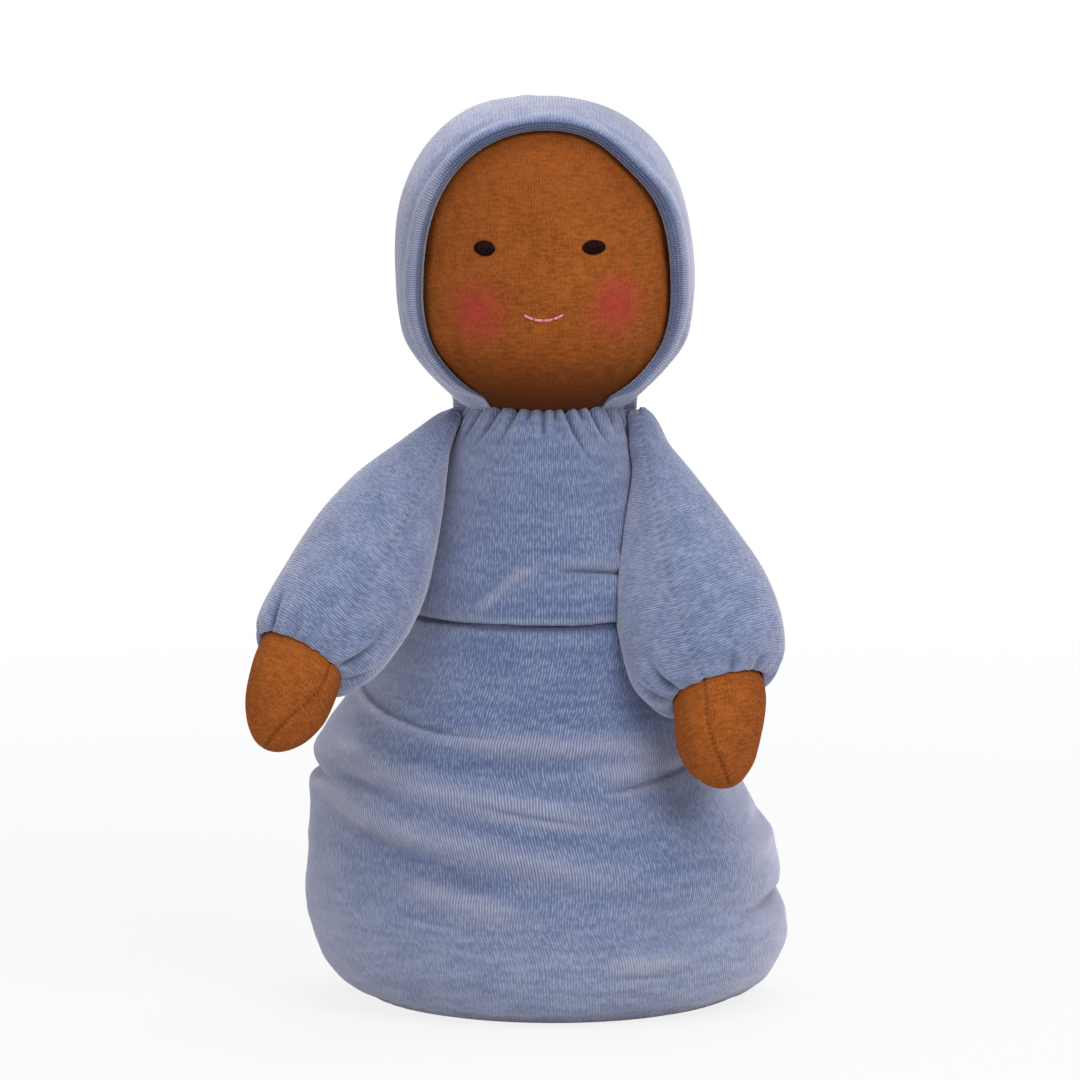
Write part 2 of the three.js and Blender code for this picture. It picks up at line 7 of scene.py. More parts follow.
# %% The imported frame
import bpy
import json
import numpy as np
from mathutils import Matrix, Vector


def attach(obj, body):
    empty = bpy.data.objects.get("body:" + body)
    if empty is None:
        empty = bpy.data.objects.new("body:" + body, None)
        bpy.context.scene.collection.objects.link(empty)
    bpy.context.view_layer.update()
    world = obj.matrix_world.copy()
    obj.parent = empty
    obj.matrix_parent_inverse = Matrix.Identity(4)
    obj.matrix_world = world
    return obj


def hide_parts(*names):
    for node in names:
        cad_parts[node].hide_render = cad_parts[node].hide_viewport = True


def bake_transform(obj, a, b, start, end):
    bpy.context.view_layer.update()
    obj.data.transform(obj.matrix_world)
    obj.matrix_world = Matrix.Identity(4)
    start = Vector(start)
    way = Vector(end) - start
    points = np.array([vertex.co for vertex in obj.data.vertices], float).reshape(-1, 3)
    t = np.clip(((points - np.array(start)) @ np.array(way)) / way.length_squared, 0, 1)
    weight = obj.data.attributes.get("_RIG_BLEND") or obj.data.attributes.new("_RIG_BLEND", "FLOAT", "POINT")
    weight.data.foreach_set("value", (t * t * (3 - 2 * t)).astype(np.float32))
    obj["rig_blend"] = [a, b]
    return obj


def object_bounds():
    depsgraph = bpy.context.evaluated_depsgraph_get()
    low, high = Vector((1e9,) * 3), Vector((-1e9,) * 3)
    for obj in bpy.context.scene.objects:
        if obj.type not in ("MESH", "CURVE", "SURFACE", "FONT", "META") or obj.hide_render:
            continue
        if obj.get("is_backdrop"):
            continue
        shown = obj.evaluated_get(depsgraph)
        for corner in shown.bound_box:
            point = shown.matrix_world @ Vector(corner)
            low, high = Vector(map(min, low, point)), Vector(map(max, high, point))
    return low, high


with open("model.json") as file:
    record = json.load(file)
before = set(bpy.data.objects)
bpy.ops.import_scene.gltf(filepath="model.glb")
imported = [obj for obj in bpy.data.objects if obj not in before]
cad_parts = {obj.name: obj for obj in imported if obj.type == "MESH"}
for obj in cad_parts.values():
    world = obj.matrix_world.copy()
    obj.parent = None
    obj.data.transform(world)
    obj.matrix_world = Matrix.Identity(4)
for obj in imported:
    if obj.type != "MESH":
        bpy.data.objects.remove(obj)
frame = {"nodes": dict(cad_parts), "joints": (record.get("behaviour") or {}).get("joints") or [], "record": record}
cad_low, cad_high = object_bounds()
print("CAD box in metres:", [round(x, 4) for x in (*cad_low, *cad_high)])

# %% Blender's own tools, and the unit that the sizes below are written in
import json
import math

import bmesh
import bpy
import numpy as np
from mathutils import Matrix, Vector, noise

MM = 0.001
FULL_TURN = 2 * math.pi
scene = bpy.context.scene

# %% [markdown]
# ## The camera
# The photograph looks down on the doll a little, from far enough away that its sides hardly draw
# together. A long lens several metres off gives that. The camera comes first, so that each piece can be
# looked at as soon as it is made.

# %% The camera at the photograph's angle
CAMERA_HEIGHT_DEGREES = 8.5
CAMERA_DISTANCE = 5.0
SEEN_WIDTH = 0.4482
LOOKED_AT = Vector((-0.0021, 0, 0.1926))

camera = bpy.data.objects.new("camera", bpy.data.cameras.new("camera"))
scene.collection.objects.link(camera)
scene.camera = camera
camera.data.lens = camera.data.sensor_width * CAMERA_DISTANCE / SEEN_WIDTH
camera_rise = math.radians(CAMERA_HEIGHT_DEGREES)
camera_back = Vector((0, -math.cos(camera_rise), math.sin(camera_rise)))
camera.location = LOOKED_AT + camera_back * CAMERA_DISTANCE
camera.rotation_euler = camera_back.to_track_quat("Z", "Y").to_euler()
print("lens in mm:", round(camera.data.lens, 1))

# %% [markdown]
# ## Light, floor and background
# A cloth doll is photographed in a light tent: white all round, and broad lamps a little stronger from
# above and from the right. The world lights evenly, three big soft lamps give the forms their shade, and
# their level is such that a colour renders about as it is written. The floor keeps a soft shadow round
# the doll and fades to white further out, so that no horizon shows.

# %% The view's colours, and one small function for nodes
scene.view_settings.view_transform = "Standard"


def add_node(tree, kind, inputs=None, **settings):
    """Adds a node with its settings. Each input gets a value, a socket, or a node's first output."""
    node = tree.nodes.new(kind)
    for name, value in settings.items():
        setattr(node, name, value)
    for name, value in (inputs or {}).items():
        named = [socket for socket in node.inputs if socket.enabled and socket.name == name]
        socket = node.inputs[name] if isinstance(name, int) else named[0]
        if isinstance(value, bpy.types.Node):
            value = next(output for output in value.outputs if output.enabled)
        if isinstance(value, bpy.types.NodeSocket):
            tree.links.new(value, socket)
        else:
            socket.default_value = value
    return node


# %% The world: even light, and white where the camera sees it
WORLD_LIGHT = 0.42
SEEN_WHITE = 1.0

world = bpy.data.worlds.new("light_tent")
scene.world = world
world.use_nodes = True
sky = world.node_tree
sky.nodes.clear()
rays = add_node(sky, "ShaderNodeLightPath").outputs
seen = add_node(sky, "ShaderNodeMath", {0: rays["Is Camera Ray"], 1: rays["Is Glossy Ray"]}, operation="MAXIMUM")
seen = add_node(sky, "ShaderNodeMath", {0: seen, 1: rays["Is Transmission Ray"]}, operation="MAXIMUM")
strength = add_node(sky, "ShaderNodeMapRange", {"Value": seen, "To Min": WORLD_LIGHT, "To Max": SEEN_WHITE})
background = add_node(sky, "ShaderNodeBackground", {"Color": (1, 1, 1, 1), "Strength": strength})
add_node(sky, "ShaderNodeOutputWorld", {"Surface": background})

# %% Three soft lamps
# Name, place and width in metres, and power in watts
LAMPS = [
    ("key", (0.95, -1.35, 1.45), 1.1, 23),
    ("fill", (-1.5, -1.3, 0.8), 1.2, 8),
    ("top", (0.2, 0.3, 1.9), 1.2, 16),
]
LAMP_AIM = Vector((0, 0, 0.2))
for lamp_name, place, width, power in LAMPS:
    lamp = bpy.data.lights.new(lamp_name, "AREA")
    lamp.size = width
    lamp.energy = power
    lamp_object = bpy.data.objects.new(lamp_name, lamp)
    lamp_object.location = place
    lamp_object.rotation_euler = (Vector(place) - LAMP_AIM).to_track_quat("Z", "Y").to_euler()
    scene.collection.objects.link(lamp_object)
print("lamps:", [row[0] for row in LAMPS])

# %% The floor
FLOOR_HALF_WIDTH = 12
SHADOW_REACH = (0.25, 1.1)
SHADOW_SHARE = 0.16

floor_bm = bmesh.new()
bmesh.ops.create_grid(floor_bm, x_segments=1, y_segments=1, size=FLOOR_HALF_WIDTH)
floor_mesh = bpy.data.meshes.new("floor")
floor_bm.to_mesh(floor_mesh)
floor_bm.free()
floor = bpy.data.objects.new("floor", floor_mesh)
scene.collection.objects.link(floor)
floor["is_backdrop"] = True

floor_paint = bpy.data.materials.new("matt_white_paper")
floor_paint.use_nodes = True
paper = floor_paint.node_tree
paper.nodes.clear()
rays = add_node(paper, "ShaderNodeLightPath").outputs
place = add_node(paper, "ShaderNodeTexCoord").outputs["Object"]
away = add_node(paper, "ShaderNodeVectorMath", {0: place}, operation="LENGTH").outputs["Value"]
shadow = add_node(paper, "ShaderNodeMapRange", {
    "Value": away, "From Min": SHADOW_REACH[0], "From Max": SHADOW_REACH[1],
    "To Min": 1 - SHADOW_SHARE, "To Max": 1.0}, interpolation_type="SMOOTHSTEP")
share = add_node(paper, "ShaderNodeMath", {0: rays["Is Camera Ray"], 1: shadow}, operation="MULTIPLY")
matt = add_node(paper, "ShaderNodeBsdfDiffuse", {"Color": (0.72, 0.72, 0.72, 1)})
glow = add_node(paper, "ShaderNodeEmission", {"Strength": SEEN_WHITE})
mixed = add_node(paper, "ShaderNodeMixShader", {0: share, 1: matt, 2: glow})
add_node(paper, "ShaderNodeOutputMaterial", {"Surface": mixed})
floor.data.materials.append(floor_paint)

# %% [markdown]
# ## Knitted velour
# Cotton velour is a knit whose loops are cut to a short nap. Its ground shows as fine ribs, about 1.1 mm
# apart, and the nap lies this way and that where hands have stroked it, so it is blotched light and
# dark. The fibre tips catch light at a grazing angle, which is why every rounded edge looks pale lilac:
# sheen gives that. Where a fold stretches the cloth, the nap opens and the paler ground shows through
# between the ribs.
# Some shade in the folds and creases, and some pale light and sheen, are painted into the colour too.

# %% Colours are written as sRGB and turned to linear
def colour(code):
    """The linear colour of an sRGB hex code."""
    shares = [int(code[i:i + 2], 16) / 255 for i in (0, 2, 4)]
    linear = [s / 12.92 if s <= 0.04045 else ((s + 0.055) / 1.055) ** 2.4 for s in shares]
    return (*linear, 1)


def new_finish(name):
    """An empty material, its tree, and the place on the piece that its patterns are laid out by."""
    finish = bpy.data.materials.new(name)
    finish.use_nodes = True
    tree = finish.node_tree
    tree.nodes.clear()
    return finish, tree, add_node(tree, "ShaderNodeTexCoord").outputs["Object"]


def lay_colours(tree, shade, layers, relief, strength, depth, roughness, sheen, tint, gloss):
    """Lays each colour over the last by its share, on a matt shader with a fine relief and a sheen."""
    for share, over in layers:
        shade = add_node(tree, "ShaderNodeMix", {"Factor": share, "A": shade, "B": over}, data_type="RGBA")
    bump = add_node(tree, "ShaderNodeBump", {"Height": relief, "Strength": strength, "Distance": depth})
    shader = add_node(tree, "ShaderNodeBsdfPrincipled", {
        "Base Color": shade, "Normal": bump, "Roughness": roughness, "Specular IOR Level": gloss,
        "Sheen Weight": sheen, "Sheen Roughness": 0.5, "Sheen Tint": colour(tint)})
    add_node(tree, "ShaderNodeOutputMaterial", {"Surface": shader})


# %% The two patterns that cloth is made of: patches, and the ribs of a knit
def patches(tree, place, size, stretch=(1, 1, 1), low=0.3, high=0.7, detail=2.0):
    """Soft patches of 0 to 1, about size metres across."""
    scaled = add_node(tree, "ShaderNodeMapping", {"Vector": place, "Scale": stretch})
    cloud = add_node(tree, "ShaderNodeTexNoise", {"Vector": scaled, "Scale": 0.5 / size, "Detail": detail})
    return add_node(tree, "ShaderNodeMapRange", {
        "Value": cloud.outputs["Fac"], "From Min": low, "From Max": high}, interpolation_type="SMOOTHSTEP")


def knit_ribs(tree, cloth_uv, axis, spacing, waver):
    """Rounded ribs of 0 to 1 across one axis of the cloth's UV map, which is in metres."""
    across = add_node(tree, "ShaderNodeSeparateXYZ", {0: cloth_uv}).outputs[axis]
    count = add_node(tree, "ShaderNodeMath", {0: across, 1: 1 / spacing, 2: waver}, operation="MULTIPLY_ADD")
    angle = add_node(tree, "ShaderNodeMath", {0: count, 1: FULL_TURN}, operation="MULTIPLY")
    wave = add_node(tree, "ShaderNodeMath", {0: angle}, operation="SINE")
    return add_node(tree, "ShaderNodeMath", {0: wave, 1: 0.5, 2: 0.5}, operation="MULTIPLY_ADD")


# %% Velour, with ribs along the piece or across it
VELOUR_RIB = 1.1 * MM
VELOUR_DEEP = colour("51648f")
VELOUR_MID = colour("687a9f")
# Pale nap tips, which also paint light and sheen on the foot, the sides, the sleeves and the hood
VELOUR_PALE_TIP_AND_LIGHT = colour("9fa7c4")
VELOUR_GROUND = colour("b2b0bf")
# Dark between the ribs, and painted shade in folds, creases, pleats, tucks and the hood's inner rim
VELOUR_RIB_GAP_AND_SHADE = colour("33405f")


def velour(name, rib_axis, stroke=(1, 1, 1)):
    """Knitted cotton velour. Stroke stretches the blotches of the nap along the piece."""
    finish, tree, place = new_finish(name)
    cloth_uv = add_node(tree, "ShaderNodeUVMap", uv_map="Cloth").outputs[0]
    crest, shade_share, brushed_and_lit = (
        add_node(tree, "ShaderNodeAttribute", attribute_name=word).outputs["Fac"]
        for word in ("Crest", "Deep", "Brushed"))
    waver = add_node(tree, "ShaderNodeMath", {0: patches(tree, place, 7 * MM), 1: 0.5}, operation="MULTIPLY")
    rib = knit_ribs(tree, cloth_uv, rib_axis, VELOUR_RIB, waver)
    broad = patches(tree, place, 18 * MM, stroke, 0.36, 0.64, 3.0)
    streaks = patches(tree, place, 4 * MM, stroke, 0.36, 0.66, 3.0)
    along_rib = (1, 0.35, 1) if rib_axis == 0 else (0.35, 1, 1)
    specks = patches(tree, cloth_uv, 0.5 * MM, along_rib, 0.36, 0.64, 1.0)

    # Each share is a pattern times a factor, plus something. A word stands for a share from an earlier row
    shares = {}
    for word, *parts in (
            ("broad", broad, 0.5, 0.0),
            ("uneven", streaks, 0.5, 0.7),
            ("speck", specks, 0.5, 0.12),
            ("gap", specks, -0.24, 0.42),
            ("opening", rib, 0.5, 0.14),
            ("cloud", streaks, 0.5, "broad"),
            ("stroked_and_lit", brushed_and_lit, 0.74, 0.0),
            ("stroked_and_lit", "stroked_and_lit", "uneven", 0.0),
            ("tips", rib, "speck", 0.0),
            ("tips", "tips", "uneven", 0.0),
            ("gaps", rib, -0.26, "gap"),
            ("opened", "opening", crest, 0.0),
            ("painted_shade", shade_share, 0.95, 0.0),
            ("height", specks, 0.6, rib)):
        parts = [shares[part] if isinstance(part, str) else part for part in parts]
        shares[word] = add_node(tree, "ShaderNodeMath", dict(enumerate(parts)), operation="MULTIPLY_ADD")

    # Of these layers the second is paler nap, partly painted light and sheen, and the last is painted shade
    layers = [(shares[word], over) for word, over in (
        ("cloud", VELOUR_MID), ("stroked_and_lit", VELOUR_PALE_TIP_AND_LIGHT), ("tips", VELOUR_PALE_TIP_AND_LIGHT), ("gaps", VELOUR_RIB_GAP_AND_SHADE),
        ("opened", VELOUR_GROUND), ("painted_shade", VELOUR_RIB_GAP_AND_SHADE))]
    lay_colours(tree, VELOUR_DEEP, layers, shares["height"], 0.6, 0.3 * MM, 0.95, 1.0, "ece8f6", 0.15)
    return finish


velour_gown = velour("knitted_velour_gown", 0, (0.5, 0.5, 2.4))
velour_sleeve = velour("knitted_velour_sleeve", 1)
velour_hood = velour("knitted_velour_hood", 0)
print("velours:", velour_gown.name, velour_sleeve.name, velour_hood.name)

# %% [markdown]
# ## Cotton jersey
# The skin is a fine single jersey, smooth side out, pulled hard over the wool so that its ribs run from
# brow to chin. It is dyed brown, and dyed yarn is never quite even, so red and yellow fibres fleck it.
# The cheeks are rubbed with a red crayon: the colour is in the nap and fades out, so it is part of this
# finish, placed round two points of the head and not cut from another piece.

# %% Jersey for the head and the hands
JERSEY_RIB = 1.1 * MM
# The darkest brown of the dye, also used for the painted shadow on the brow
JERSEY_DEEP = colour("6e340e")
JERSEY_MID = colour("a65c27")
JERSEY_FLECK = colour("c98548")
# Painted shade, under the chin and along stitched seams
JERSEY_SHADE = colour("4a1f04")
CRAYON_RED = colour("ad2a3a")
# Middle and reach of the colour on each cheek, in mm
CHEEKS = [((-28.0, -49.0, 294.0), 19.5), ((29.0, -48.5, 297.6), 18.5)]
# Heights in mm: where the ribs start to show on the brow, and where the chin turns under and painted shade darkens it
BROW = (305, 350)
UNDER_CHIN = (288, 251)
# Heights in mm where a painted shadow of the hood's rim darkens the brow
BROW_SHADED = (320, 352)


def jersey(name, cheeks=()):
    """Fine cotton jersey, with crayon on the cheeks where the piece has them. A face also gets painted shade under
    the chin and a painted shadow of the hood on the brow.
    """
    finish, tree, place = new_finish(name)
    cloth_uv = add_node(tree, "ShaderNodeUVMap", uv_map="Cloth").outputs[0]
    height = add_node(tree, "ShaderNodeSeparateXYZ", {0: place}).outputs[2]

    rib = knit_ribs(tree, cloth_uv, 0, JERSEY_RIB, patches(tree, place, 6 * MM))
    courses = patches(tree, cloth_uv, 0.8 * MM, (0.3, 1.3, 1), 0.36, 0.64, 2.0)
    # Each pattern of the dye and the knit, and how much it counts
    tone = 0.0
    for pattern, weight in (
            (patches(tree, place, 16 * MM, (1, 1, 1), 0.25, 0.75, 3.0), 0.2),
            (patches(tree, place, 2.4 * MM, (1, 1, 0.7), 0.35, 0.65, 2.0), 0.17),
            (courses, 0.28),
            (patches(tree, cloth_uv, 0.5 * MM, (1, 0.6, 1), 0.38, 0.62, 1.0), 0.24)):
        tone = add_node(tree, "ShaderNodeMath", {0: pattern, 1: weight, 2: tone}, operation="MULTIPLY_ADD")
    rib_show, shaded, brow = 0.25, 0.0, 0.0
    # A face shows its ribs more on the brow, and gets painted shade under the chin and painted shadow under the
    # hood's rim
    if cheeks:
        rib_show, shaded, brow = (
            add_node(tree, "ShaderNodeMapRange", {
                "Value": height, "From Min": ends[0] * MM, "From Max": ends[1] * MM,
                "To Min": low, "To Max": high}, interpolation_type="SMOOTHSTEP")
            for ends, low, high in ((BROW, 0.14, 0.42), (UNDER_CHIN, 0.0, 0.95), (BROW_SHADED, 0.0, 0.32)))
    tone = add_node(tree, "ShaderNodeMath", {0: rib, 1: rib_show, 2: tone}, operation="MULTIPLY_ADD")
    flecks = patches(tree, cloth_uv, 0.5 * MM, (1, 1, 1), 0.72, 0.8, 0.0)
    flecks = add_node(tree, "ShaderNodeMath", {0: flecks, 1: 0.3}, operation="MULTIPLY")
    # A stitched seam gets painted shade in its groove
    seam = add_node(tree, "ShaderNodeAttribute", attribute_name="Seam").outputs["Fac"]
    layers = [
        (tone, JERSEY_MID), (flecks, JERSEY_FLECK), (brow, JERSEY_DEEP), (shaded, JERSEY_SHADE), (seam, JERSEY_SHADE)]
    for (x, y, z), reach in cheeks:
        away = add_node(tree, "ShaderNodeVectorMath", {
            0: place, 1: (x * MM, y * MM, z * MM)}, operation="DISTANCE").outputs["Value"]
        rubbed = add_node(tree, "ShaderNodeMapRange", {
            "Value": away, "From Min": 0.0, "From Max": reach * MM,
            "To Min": 0.57, "To Max": 0.0}, interpolation_type="SMOOTHSTEP")
        uneven = add_node(tree, "ShaderNodeMath", {0: courses, 1: 0.35, 2: 0.8}, operation="MULTIPLY_ADD")
        layers.append((add_node(tree, "ShaderNodeMath", {0: rubbed, 1: uneven}, operation="MULTIPLY"), CRAYON_RED))
    relief = add_node(tree, "ShaderNodeMath", {0: courses, 1: 0.6, 2: rib}, operation="MULTIPLY_ADD")
    lay_colours(tree, JERSEY_DEEP, layers, relief, 0.4, 0.18 * MM, 0.9, 0.05, "e0a070", 0.1)
    return finish


jersey_face = jersey("cotton_jersey_face", CHEEKS)
jersey_hand = jersey("cotton_jersey_hand")
print("jerseys:", jersey_face.name, jersey_hand.name)

# %% [markdown]
# ## Threads, wool and the plain cloths inside
# The eyes and mouth are stranded cotton, which has a soft shine and a twist. The tying threads, the wool
# and the pouch are inside and seldom seen, but they are looked at when the doll is taken apart, so each
# has its own fibre too.

# %% Stranded cotton and the hidden finishes
def fibre(name, dark, pale, size, stretch, roughness, sheen, depth, gloss=0.2):
    """A fibrous finish: two colours mixed by a stretched pattern, which is also its relief."""
    finish, tree, place = new_finish(name)
    strands = patches(tree, place, size, stretch, 0.35, 0.68, 3.0)
    lay_colours(
        tree, colour(dark), [(strands, colour(pale))], strands, 0.6, depth, roughness, sheen, pale, gloss)
    return finish


eye_cotton = fibre("stranded_cotton_dark_brown", "0a0302", "2b120d", 0.35 * MM, (1, 1, 0.4), 0.4, 0.0, 0.1 * MM, 0.05)
mouth_cotton = fibre("stranded_cotton_pink", "d9697d", "fba9b5", 0.3 * MM, (0.6, 1, 1.6), 0.55, 0.2, 0.1 * MM)
linen_thread = fibre("waxed_linen_thread", "b9ae94", "e2dac6", 0.6 * MM, (1, 1, 3), 0.6, 0.1, 0.2 * MM)
carded_wool = fibre("carded_sheep_wool", "d2c7b0", "f1eadb", 3 * MM, (1, 1, 0.5), 1.0, 0.5, 0.8 * MM)
cotton_gauze = fibre("undyed_cotton_gauze", "dedace", "faf7ef", 1.0 * MM, (1, 1, 1), 0.95, 0.2, 0.3 * MM)
cambric = fibre("tight_cotton_cambric", "c4b89d", "e3dac4", 0.8 * MM, (1, 1, 1), 0.9, 0.1, 0.2 * MM)

HIDDEN_FINISHES = {
    "wool": carded_wool, "gauze": cotton_gauze, "thread": linen_thread, "pouch_cotton": cambric,
    "jersey": jersey_hand, "velour": velour_gown, "eye_yarn": eye_cotton, "mouth_yarn": mouth_cotton,
}
for row in frame["record"]["subparts"]:
    node = frame["nodes"][row["node"]]
    node.data.materials.clear()
    node.data.materials.append(HIDDEN_FINISHES[row["material_slot"]])
print("finishes on", len(frame["nodes"]), "CAD nodes")

# %% [markdown]
# ## Cloth drawn row by row
# Every soft form here is a tube of cloth: it starts as a circle of corners, and each next row is the
# last row's edges, extruded and put in place. That keeps clean four-sided faces and a UV map in real
# metres, so that the ribs of the knit follow the cloth as they do in life. A form may also be an open
# strip, as the hood is, with one edge of the circle taken out.

# %% One function draws such a form
def draw_rows(place, rows, corners, cloth, closed=True):
    """A mesh of rows. place gives a corner from its share round and along, and cloth gives its UV in metres."""
    bm = bmesh.new()
    around = bm.verts.layers.float.new("around")
    along = bm.verts.layers.float.new("along")
    uv = bm.loops.layers.uv.new("Cloth")
    bmesh.ops.create_circle(bm, segments=corners, radius=1)
    bm.verts.ensure_lookup_table()
    steps = corners if closed else corners - 1
    for i, corner in enumerate(bm.verts):
        corner[around] = i / steps
    if not closed:
        bm.edges.remove(bm.edges.get((bm.verts[-1], bm.verts[0])))
    row = list(bm.verts)
    edges = list(bm.edges)
    for number in range(rows):
        share = number / (rows - 1)
        if number:
            made = bmesh.ops.extrude_edge_only(bm, edges=edges)["geom"]
            row = [g for g in made if isinstance(g, bmesh.types.BMVert)]
            kept = set(row)
            edges = [g for g in made if isinstance(g, bmesh.types.BMEdge) and kept.issuperset(g.verts)]
        for corner in row:
            corner[along] = share
            corner.co = place(corner[around], share)
    for face in bm.faces:
        shares = [loop.vert[around] for loop in face.loops]
        wraps = closed and max(shares) - min(shares) > 0.5
        for loop, share in zip(face.loops, shares):
            share = 1.0 if wraps and share < 0.5 else share
            loop[uv].uv = cloth(share, loop.vert[along])
    # Extruding makes edges and faces in another order on each run, and the cloth settles by their order
    bm.verts.sort(key=lambda corner: rows * corner[along] * 2 + corner[around])
    bm.verts.index_update()
    for parts in (bm.edges, bm.faces):
        parts.sort(key=lambda part: np.dot(sorted(corner.index for corner in part.verts)[:2], (len(bm.verts), 1)))
        parts.index_update()
    bm.verts.layers.float.remove(bm.verts.layers.float["along"])
    bm.verts.layers.float.remove(bm.verts.layers.float["around"])
    bmesh.ops.remove_doubles(bm, verts=bm.verts, dist=0.01 * MM)
    return bm


def oval(around, middle, half, depth, height):
    """A corner of a level oval. It starts at the middle of the back, and the doll's left comes first."""
    angle = FULL_TURN * around
    return Vector((middle + half * math.sin(angle), depth * math.cos(angle), height)) * MM


# %% A finished form becomes a piece, and its mesh can be made finer
def as_piece(bm, name, finish):
    """Turns the faces outwards and makes the object, at the origin and smooth."""
    bmesh.ops.recalc_face_normals(bm, faces=bm.faces)
    middle = sum((v.co for v in bm.verts), Vector()) / len(bm.verts)
    outward = sum(f.normal.dot(f.calc_center_median() - middle) * f.calc_area() for f in bm.faces)
    if outward < 0:
        bmesh.ops.reverse_faces(bm, faces=bm.faces)
    mesh = bpy.data.meshes.new(name)
    bm.to_mesh(mesh)
    bm.free()
    mesh.shade_smooth()
    mesh.materials.append(finish)
    piece = bpy.data.objects.new(name, mesh)
    scene.collection.objects.link(piece)
    return piece


def refine(piece):
    """Subdivides the cloth once, for good."""
    step = piece.modifiers.new("finer", "SUBSURF")
    step.levels = 1
    step.render_levels = 1
    finer = bpy.data.meshes.new_from_object(piece.evaluated_get(bpy.context.evaluated_depsgraph_get()))
    piece.modifiers.clear()
    old = piece.data
    piece.data = finer
    bpy.data.meshes.remove(old)
    finer.name = piece.name


# %% Reading and moving all corners of a cloth at once
def read(items, word, width):
    """The same value of every item, as rows of this many numbers."""
    found = np.zeros(len(items) * width)
    items.foreach_get(word, found)
    return found.reshape(-1, width)


def corners_of(piece):
    """The corners' places in metres."""
    return read(piece.data.vertices, "co", 3)


def put_corners(piece, places):
    piece.data.vertices.foreach_set("co", places.astype(np.float32).ravel())
    piece.data.update()


def normals_of(piece):
    return read(piece.data.vertex_normals, "vector", 3)


def cloth_of(piece):
    """Each corner's place on the cloth, from the UV map, in metres."""
    corner = np.zeros(len(piece.data.loops), dtype=int)
    piece.data.loops.foreach_get("vertex_index", corner)
    found = np.zeros((len(piece.data.vertices), 2))
    found[corner] = read(piece.data.uv_layers["Cloth"].data, "uv", 2)
    return found


def lift_cloth(piece, places, lift):
    """Moves the corners out along their normals. Places and lift are in mm."""
    put_corners(piece, (places + normals_of(piece) * lift[:, None]) * MM)


def lumps(places, size, seed):
    """A smooth random height of about -1 to 1 for each place, with lumps of this size in the same unit."""
    offset = Vector((seed * 17.3, seed * 5.1, seed * 9.7))
    return np.array([noise.noise(Vector(p) / size + offset) for p in places])


def ease(values):
    """Nought to one, with no kink at either end."""
    held = np.clip(values, 0, 1)
    return held * held * (3 - 2 * held)


def set_shares(piece, **shares):
    """Writes a share of 0 to 1 for every corner, under a name that a finish reads."""
    for name, amounts in shares.items():
        amounts = np.zeros(len(piece.data.vertices)) + amounts
        layer = piece.data.attributes.new(name, "FLOAT", "POINT")
        layer.data.foreach_set("value", np.clip(amounts, 0, 1).astype(np.float32))


# %% [markdown]
# ## Folds
# A fold in a stuffed sack is a line where the cloth sinks and doubles, with the cloth above it bulging
# over. Each is written as a route on the cloth, and every corner learns how far it is from the route
# and on which side. Sculpting by hand would do as well, but a route can be checked against the real
# fold, and it stays where it is when the mesh gets finer.

# %% How far each corner is from a route
def beside(points, route):
    """Signed distance to a route on the cloth, positive on its left, and the share along it."""
    ends = np.array(route, float)
    lengths = np.hypot(*(ends[1:] - ends[:-1]).T)
    starts = np.concatenate([[0], np.cumsum(lengths)])
    nearest = np.full(len(points), 1e9)
    signed = np.zeros(len(points))
    share = np.zeros(len(points))
    for (a, b), length, start in zip(zip(ends[:-1], ends[1:]), lengths, starts):
        line = b - a
        to_point = points - a
        t = np.clip(to_point @ line / length ** 2, 0, 1)
        gap = to_point - t[:, None] * line
        distance = np.hypot(gap[:, 0], gap[:, 1])
        side = np.sign(line[0] * to_point[:, 1] - line[1] * to_point[:, 0])
        closer = distance < nearest
        nearest = np.where(closer, distance, nearest)
        signed = np.where(closer, distance * side, signed)
        share = np.where(closer, (start + t * length) / starts[-1], share)
    return signed, share


def hill(distance, width):
    return np.exp(-(distance / width) ** 2)


def near_route(points, route, fade):
    """Signed distance to a route, and its strength, which fades over these shares of its two ends."""
    signed, share = beside(points, route)
    return signed, ease(share / fade[0]) * ease((1 - share) / fade[1])


def fold(points, route, depth, width, fade):
    """A crease with the cloth on its left bulging over it. Returns the lift, the stretch and the painted shade in the
    crease.
    """
    signed, strength = near_route(points, route, fade)
    dip = -depth * hill(signed, width)
    bulge = 0.8 * depth * hill(signed - 2 * width - 2, 1.6 * width + 2)
    rise = 0.3 * depth * hill(signed + 3 * width, 2.4 * width)
    stretch = min(0.9, 0.45 * depth) * hill(signed - 1.5 * width, width + 0.8)
    crease_shade = min(1.0, 0.4 * depth) * hill(signed, 0.35 * width + 0.4)
    return strength * (dip + bulge + rise), strength * stretch, strength * crease_shade


def ridge(points, route, height, width, fade):
    """A soft line where the cloth is stretched over the filling."""
    signed, strength = near_route(points, route, fade)
    return strength * height * hill(signed, width), strength * hill(signed, 1.3 * width), 0 * strength


def hollow(points, route, depth, width, fade):
    """A soft dip between two folds, with a little painted shade in it."""
    signed, strength = near_route(points, route, fade)
    return -strength * depth * hill(signed, width), 0 * strength, 0.26 * strength * hill(signed, width)


# %% [markdown]
# ## The gown
# The gown is one tube of velour from the oval base panel to the gathered neck. It stands low and wide,
# leans a little to the doll's right above its widest place, doubles over itself at the waist and is
# drawn into pleats at the neck. Its outline is a table of heights and half widths, run through smoothly.

